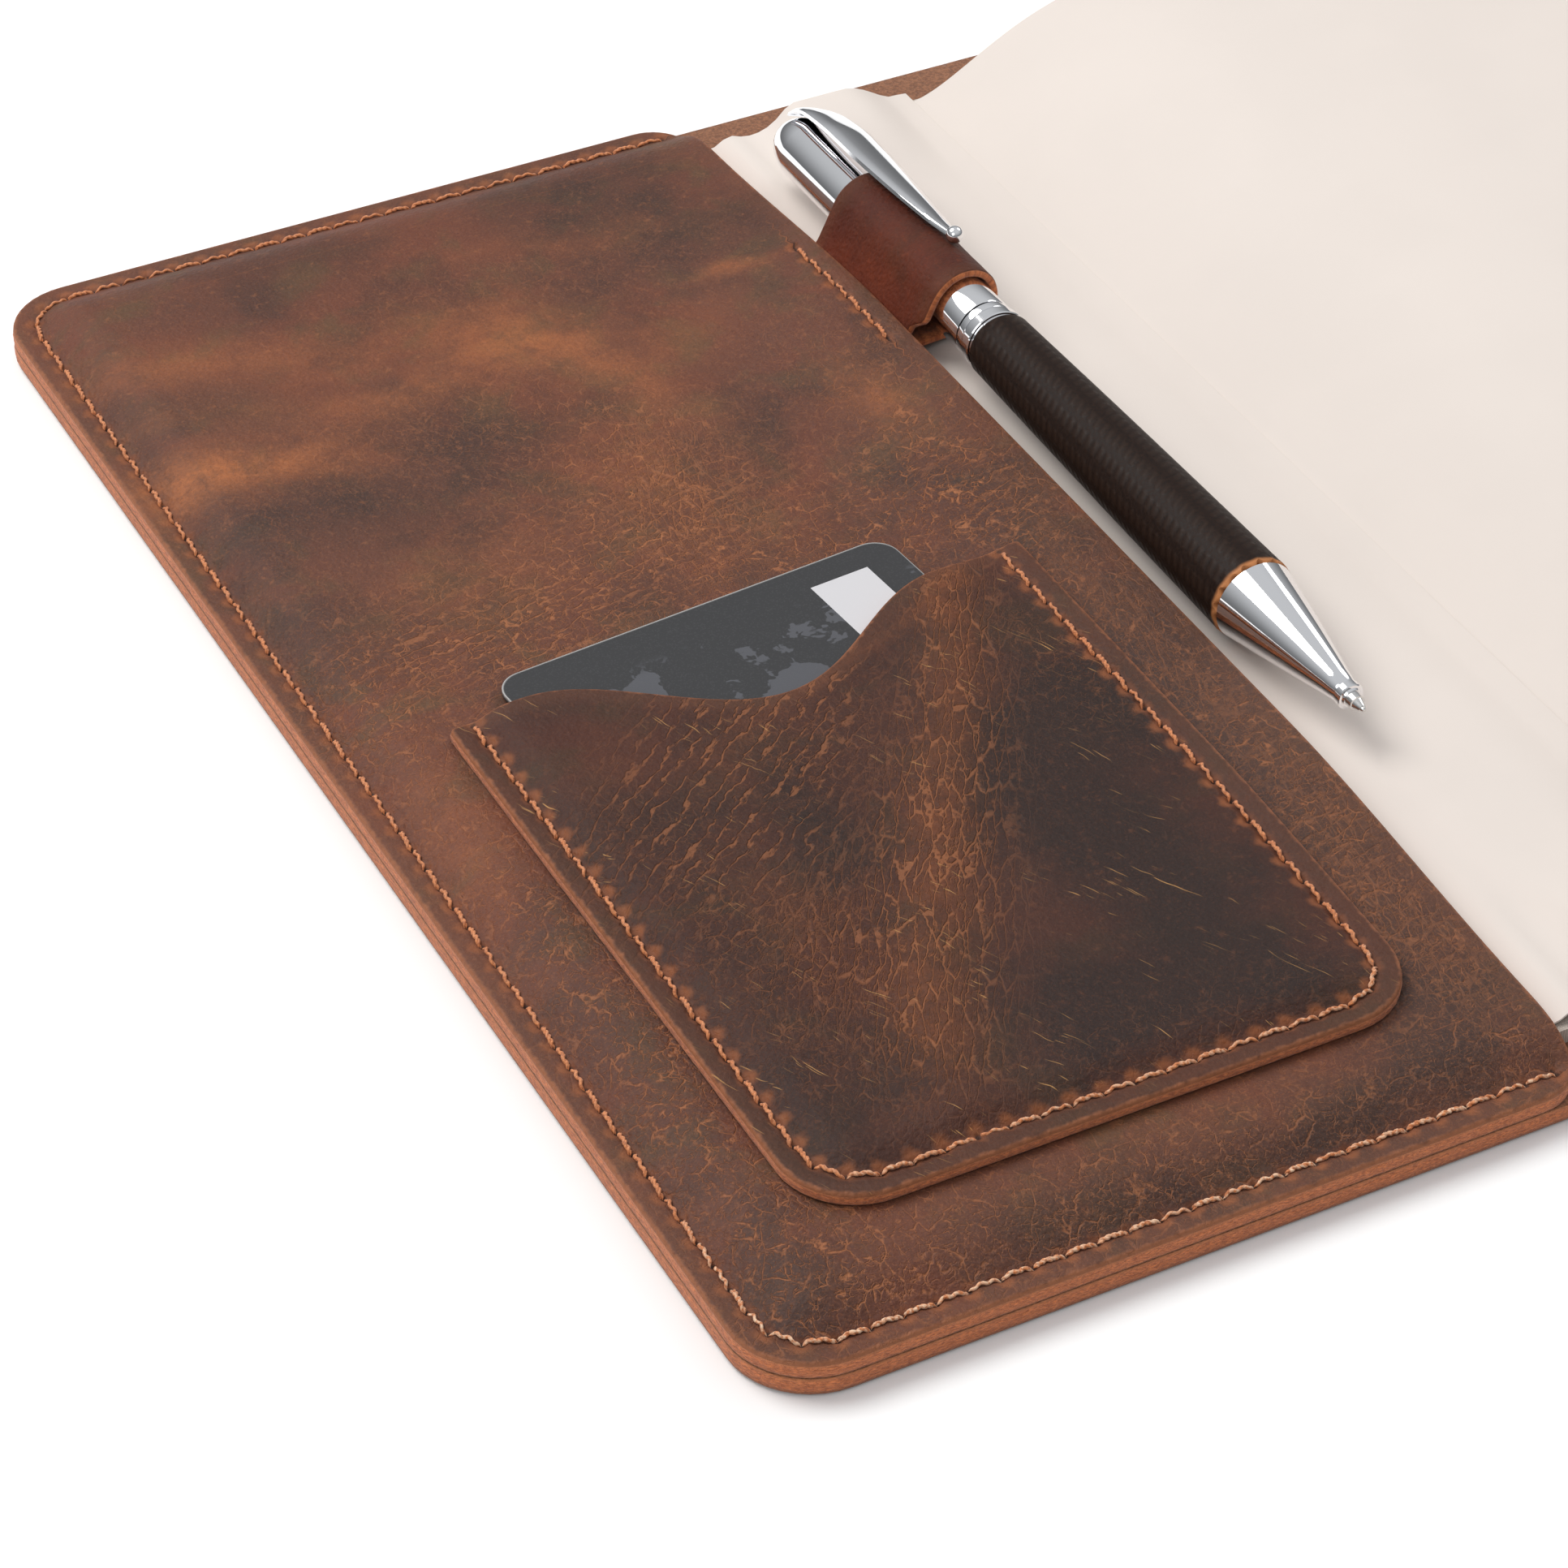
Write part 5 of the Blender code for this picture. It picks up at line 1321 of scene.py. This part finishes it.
def text_block():
    """All the pages as one bending stack, from the gutter to the slanting fore edge."""
    unit, faces = cube_surface((90, 60, 42))
    gutter = -FOLD_X - 0.1
    fore = BLOCK_HIGH[0]
    across, along, leaf = unit.T
    spread = across**1.25
    bottom_x = gutter + (fore - gutter) * spread
    top_x = gutter + (fore - FORE_EDGE_SLANT - gutter) * spread
    climb = smooth((bottom_x - FREE_X + 3.5) / 3.0)
    bottom_z = PAPER_TOP + PAPER_THICK + (FLAP_THICK + 0.25) * climb
    x = bottom_x + (top_x - bottom_x) * leaf
    y = BLOCK_LOW[1] + (BLOCK_HIGH[1] - BLOCK_LOW[1]) * along
    z = bottom_z + (page_top(top_x) - bottom_z) * leaf
    rng = np.random.default_rng(17)
    jitter = rng.uniform(-1, 1, 43)[np.round(leaf * 42).astype(int)]
    y = y + np.where(along == 0, 1, np.where(along == 1, -1, 0)) * (0.08 + 0.08 * jitter) * (across > 0.02)
    x = x + np.where(across == 1, 0.12 * jitter, 0)
    plan = np.column_stack([x, y])
    top_wave = 0.25 * rough(plan, 45.0, 71) * smooth((x + FOLD_X - 6) / 30) * (leaf == 1)
    points = np.column_stack([x, y, z - 0.12 - np.abs(top_wave)])
    slots = [0 if unit[face][:, 2].min() == 1 or unit[face][:, 2].max() == 0 else 1 for face in faces]
    made = new_object("page_block", points, faces, [PAPER, LEAVES], slots, sharp=50)
    add_attribute(made, "leaf", leaf)
    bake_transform(made)
    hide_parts("text_block", "text_block_gutter")


def endpapers():
    """The pasted endpapers; the front one runs on to the gutter."""
    low, high = box("front_endpaper")
    unit, faces = cube_surface((90, 40, 2))
    across, along, up = unit.T
    end = -FOLD_X + 0.8
    x = low[0] + (end - low[0]) * across
    y = low[1] + (high[1] - low[1]) * along
    lift = SHEET_LIFT + (SHEET_END_LIFT - SHEET_LIFT) * end_curl(y)
    lift = lift * smooth((x + FREE_X - 0.5) / 8.0) * (1 - smooth((x - end + 10.0) / 10.0)) + 1e-3
    room = PEN_Z - high[2] - 0.45 - np.sqrt(np.maximum(PEN_CLEAR**2 - (x - PEN_X) ** 2, 0))
    lift = (lift**-4 + np.maximum(room, 0.05) ** -4) ** -0.25  # the pen slides out over it
    on_first_page = page_top(end) - low[2] + 0.03
    lift = lift + on_first_page * smooth((x - end + 3.4) / 2.6)
    z = low[2] + (high[2] - low[2]) * up + lift
    made = new_object("front_endpaper_sheet", np.column_stack([x, y, z]), faces, [PAPER], sharp=50)
    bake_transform(made)
    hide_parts("front_endpaper")

    low, high = box("back_endpaper")
    unit, faces = cube_surface((30, 20, 1))
    points = low + unit * (high - low)
    made = new_object("back_endpaper_sheet", points, faces, [PAPER], sharp=50)
    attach(made, "root")
    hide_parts("back_endpaper")


# ---------------------------------------------------------------- pen
def turned(name, profile, look, steps=96, scallop=None, sharp=28):
    """A profile of (place along Y, radius) turned round the pen's axis, closed at its ends."""
    along = np.array([place for place, _ in profile])
    radius = np.array([size for _, size in profile])
    turn = np.linspace(0, 2 * np.pi, steps, endpoint=False)
    count = len(profile)
    y = np.repeat(along[:, None], steps, axis=1)
    r = np.repeat(radius[:, None], steps, axis=1)
    if scallop is not None:
        y, r = scallop(y, r, turn[None, :])
    points = np.stack([PEN_X + r * np.cos(turn), y, PEN_Z + r * np.sin(turn)], axis=2).reshape(-1, 3)
    made = new_object(name, points, ring_faces(count, steps), [look], sharp=sharp)
    recalculate(made)
    wrap = np.stack([radius.mean() * np.repeat(turn[None, :], count, axis=0), y, 0 * y], axis=2)
    add_attribute(made, "wrap", wrap.reshape(-1, 3))
    add_attribute(made, "edge", (y - along.min()).ravel())
    return made


def cap_profile(near, far):
    """Cap with a small bead at its mouth and a softly rounded end."""
    radius = CAP_RADIUS
    profile = [(near, radius - 0.35), (near + 0.05, radius - 0.08), (near + 0.25, radius)]
    profile += [(near + (far - 5.5 - near) * share, radius) for share in (0.1, 0.35, 0.6, 0.85, 1.0)]
    for step in range(1, 15):
        turn = math.pi / 2 * step / 14
        profile.append((far - 5.5 + 5.5 * math.sin(turn) ** 1.15, radius * max(0.02, math.cos(turn)) ** 0.62))
    return profile


def ring_profile(near, far):
    """Centre ring with two grooves."""
    radius = CAP_RADIUS + 0.22
    groove = CAP_RADIUS - 0.12
    return [
        (near, 3.2), (near, groove), (near + 0.3, groove), (near + 0.34, radius - 0.12), (near + 0.5, radius),
        (near + 1.7, radius), (near + 1.86, radius - 0.12), (near + 1.9, groove), (near + 2.2, groove),
        (near + 2.24, CAP_RADIUS - 0.04), (near + 2.35, CAP_RADIUS), (far - 0.1, CAP_RADIUS),
        (far, groove), (far, 3.2),
    ]


def cone_profile(base, lip):
    """Polished cone, its collar and the lip round the tip."""
    wide = SLEEVE_RADIUS - 0.12
    narrow = 1.6
    profile = [(base, 2.0), (base, wide - 0.12), (base - 0.12, wide)]
    for step in range(1, 13):
        share = step / 12
        bow = 0.10 * math.sin(math.pi * share)
        profile.append((base - 0.12 + (lip + 1.9 - base) * share, wide + (narrow - wide) * share + bow))
    return profile + [
        (lip + 1.55, narrow - 0.18), (lip + 1.4, narrow + 0.02), (lip + 1.3, narrow + 0.12),
        (lip + 0.45, narrow + 0.12), (lip + 0.3, narrow - 0.02), (lip + 0.25, narrow - 0.3),
        (lip, 1.15), (lip, 0.9),
    ]


def pen():
    """The twist pen's visible parts."""
    cap = turned("pen_cap_chrome", cap_profile(CAP_LOW[1], CAP_HIGH[1]), CHROME)
    ring = turned("pen_ring_chrome", ring_profile(RING_LOW[1], RING_HIGH[1]), CHROME)
    for piece, node in ((cap, "pen_cap"), (ring, "pen_center_ring")):
        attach(piece, "pen_upper")
        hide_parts(node)

    near, far = SLEEVE_LOW[1], SLEEVE_HIGH[1]
    fat = SLEEVE_RADIUS
    slim = CAP_RADIUS + 0.32
    profile = [(near, fat - 0.9), (near - 0.05, fat - 0.25), (near + 0.1, fat - 0.02), (near + 0.5, fat)]
    for step in range(1, 25):
        share = step / 24
        belly = 0.1 * math.sin(math.pi * share)
        profile.append((near + 0.5 + (far - 0.9 - near) * share, fat + (slim - fat) * share + belly))
    profile += [(far - 0.15, slim - 0.12), (far, slim - 0.5), (far, slim - 0.9)]

    def scallop(y, r, turn):
        close = np.clip(1 - (y - near) / 1.3, 0, 1)
        wave = np.cos(turn * 17) + 0.35 * np.cos(turn * 29 + 1.0)
        return y + 0.28 * wave * close, r + 0.07 * wave * close

    sleeve = turned("pen_sleeve_embossed", profile, SLEEVE, steps=128, scallop=scallop, sharp=60)
    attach(sleeve, "pen_lower")
    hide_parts("pen_leather_sleeve")

    cone = turned("pen_cone_chrome", cone_profile(CONE_HIGH[1], CONE_LOW[1]), CHROME)
    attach(cone, "pen_lower")
    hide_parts("pen_cone")

    tip = REFILL_LOW[1]
    profile = [
        (tip, 0.02), (tip + 0.05, 0.2), (tip + 0.2, 0.33), (tip + 0.4, 0.36), (tip + 0.45, 0.45),
        (tip + 1.5, 0.82), (tip + 1.55, 0.98), (tip + 2.1, 1.02), (tip + 14.0, 1.02), (tip + 16.0, 1.55),
        (REFILL_HIGH[1], 1.55),
    ]
    refill = turned("pen_refill_steel", profile, STEEL, steps=64)
    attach(refill, "refill")
    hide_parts("pen_refill")


def clip():
    """The clip: a bowed strip from the cap's end, over the loop, to a small ball."""
    out = np.array([math.cos(CLIP_ANGLE), 0, math.sin(CLIP_ANGLE)])
    side = np.array([math.sin(CLIP_ANGLE), 0, -math.cos(CLIP_ANGLE)])
    root_y = joint("clip_flex")["pos_m"][1] / MM
    ball_y = CLIP_LOW[1] + BALL_RADIUS
    over_loop = CAP_RADIUS + 0.2 + LOOP_THICK + 0.35
    stations = [
        (root_y + 1.0, CAP_RADIUS - 1.1, 5.2), (root_y, CAP_RADIUS + 0.05, 6.0),
        (root_y - 3.0, CAP_RADIUS + 1.1, 7.0), (root_y - 9.0, over_loop + 0.05, 7.4),
        (LOOP_HIGH[1] + 2.0, over_loop, 6.9), ((LOOP_HIGH[1] + ball_y) / 2 + 2, over_loop + 0.05, 5.2),
        (ball_y + 4.0, over_loop + 0.1, 3.1), (ball_y + 0.6, over_loop + 0.3, 1.9),
    ]
    stations = np.array(stations)
    length = np.concatenate([[0], np.cumsum(np.abs(np.diff(stations[:, 0])))])
    fine = np.linspace(0, length[-1], 60)
    line = np.column_stack([np.interp(fine, length, stations[:, column]) for column in range(3)])
    for _ in range(6):
        line[1:-1] = (line[:-2] + 2 * line[1:-1] + line[2:]) / 4
    shape = [
        (-1.0, 0.12), (-0.86, 0.0), (-0.4, 0.0), (0.0, 0.0), (0.4, 0.0), (0.86, 0.0), (1.0, 0.12),
        (1.0, 0.62),
        (0.90, 0.86), (0.6, 0.97), (0.25, 1.0), (-0.25, 1.0), (-0.6, 0.97), (-0.90, 0.86), (-1.0, 0.62),
    ]
    points = []
    for y, height, width in line:
        for share, up in shape:
            fullness = width / stations[:, 2].max()
            crown = 0.32 * fullness * (1 - share**2)
            radial = height + crown + CLIP_THICK * up * (0.75 + 0.25 * fullness)
            points.append(np.array([PEN_X, y, PEN_Z]) + out * radial + side * share * width / 2)
    faces = ring_faces(len(line), len(shape))
    made = new_object("pen_clip_chrome", points, faces, [CHROME], sharp=35)
    recalculate(made)
    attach(made, "clip")
    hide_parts("pen_clip")

    unit, faces = cube_surface((10, 10, 10))
    ball = unit * 2 - 1
    ball /= np.linalg.norm(ball, axis=1)[:, None]
    center = np.array([PEN_X, ball_y, PEN_Z]) + out * (over_loop + 0.85)
    made = new_object("pen_clip_ball", center + ball * BALL_RADIUS, faces, [CHROME])
    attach(made, "clip")


# ---------------------------------------------------------------- carried-over nodes
def carried_over():
    """Better materials for the CAD nodes that stay."""
    looks = {
        "notebook_front_board": CLOTH, "notebook_back_board": CLOTH, "notebook_spine": CLOTH,
        "pen_twist_mechanism": BRASS, "pen_barrel_tube": BRASS,
    }
    for node, look in looks.items():
        mesh = frame["nodes"][node].data
        mesh.materials.clear()
        mesh.materials.append(look)


# ---------------------------------------------------------------- studio
def studio():
    """Pale floor, soft light and the camera."""
    floor_mesh = bpy.data.meshes.new("floor")
    corners = [(-3, -3, 0), (3, -3, 0), (3, 3, 0), (-3, 3, 0)]
    floor_mesh.from_pydata(corners, [], [(0, 1, 2, 3)])
    g = Graph("pale_floor")
    coords = g.add("TexCoord", output="Object")
    haze = g.noise(coords, 3.0, 2.0)
    shade = g.mix(g.step(haze, 0.3, 0.7), (0.955, 0.955, 0.955), (0.97, 0.97, 0.97))
    floor_mesh.materials.append(g.finish(shade, 0.9, None, Specular_IOR_Level=0.1))
    floor = bpy.data.objects.new("floor", floor_mesh)
    floor.location.z = -0.0002
    bpy.context.scene.collection.objects.link(floor)

    world = bpy.context.scene.world or bpy.data.worlds.new("studio")
    bpy.context.scene.world = world
    world.use_nodes = True
    tree = world.node_tree
    background = tree.nodes["Background"]
    coords = tree.nodes.new("ShaderNodeTexCoord")
    split = tree.nodes.new("ShaderNodeSeparateXYZ")
    ramp = tree.nodes.new("ShaderNodeMapRange")
    ramp.interpolation_type = "SMOOTHSTEP"
    ramp_range = {"From Min": -0.05, "From Max": 0.85, "To Min": WORLD_HORIZON, "To Max": WORLD_ZENITH}
    for key, value in ramp_range.items():
        ramp.inputs[key].default_value = value
    tree.links.new(coords.outputs["Generated"], split.inputs[0])
    tree.links.new(split.outputs["Z"], ramp.inputs["Value"])
    tree.links.new(ramp.outputs[0], background.inputs["Strength"])
    background.inputs["Color"].default_value = (0.96, 0.98, 1.0, 1.0)

    lamps = (
        ("key_softbox", (-0.45, 0.55, 0.95), 0.8, 9.5, (1.0, 0.985, 0.96)),
        ("fill_softbox", (-0.9, -0.6, 0.7), 0.8, 2.6, (0.97, 0.985, 1.0)),
        ("side_softbox", (0.9, 0.3, 0.8), 0.6, 2.4, (1.0, 1.0, 1.0)),
    )
    for name, place, size, power, color in lamps:
        lamp = bpy.data.lights.new(name, "AREA")
        lamp.shape = "DISK"
        lamp.size = size
        lamp.energy = power
        lamp.color = color
        holder = bpy.data.objects.new(name, lamp)
        holder.location = place
        holder.rotation_euler = Vector(place).to_track_quat("Z", "Y").to_euler()
        bpy.context.scene.collection.objects.link(holder)

    camera_data = bpy.data.cameras.new("camera")
    camera_data.lens = CAMERA_LENS
    camera_data.sensor_width = 36.0
    camera_data.clip_start = 0.02
    camera = bpy.data.objects.new("camera", camera_data)
    camera.location = CAMERA_PLACE
    camera.rotation_euler = (CAMERA_TARGET - camera.location).to_track_quat("-Z", "Y").to_euler()
    bpy.context.scene.collection.objects.link(camera)
    bpy.context.scene.camera = camera
    bpy.context.scene.view_settings.view_transform = "Standard"


outer_cover()
inner_flaps()
card_pocket()
sewing()
pen_loop()
card()
text_block()
endpapers()
pen()
clip()
carried_over()
studio()
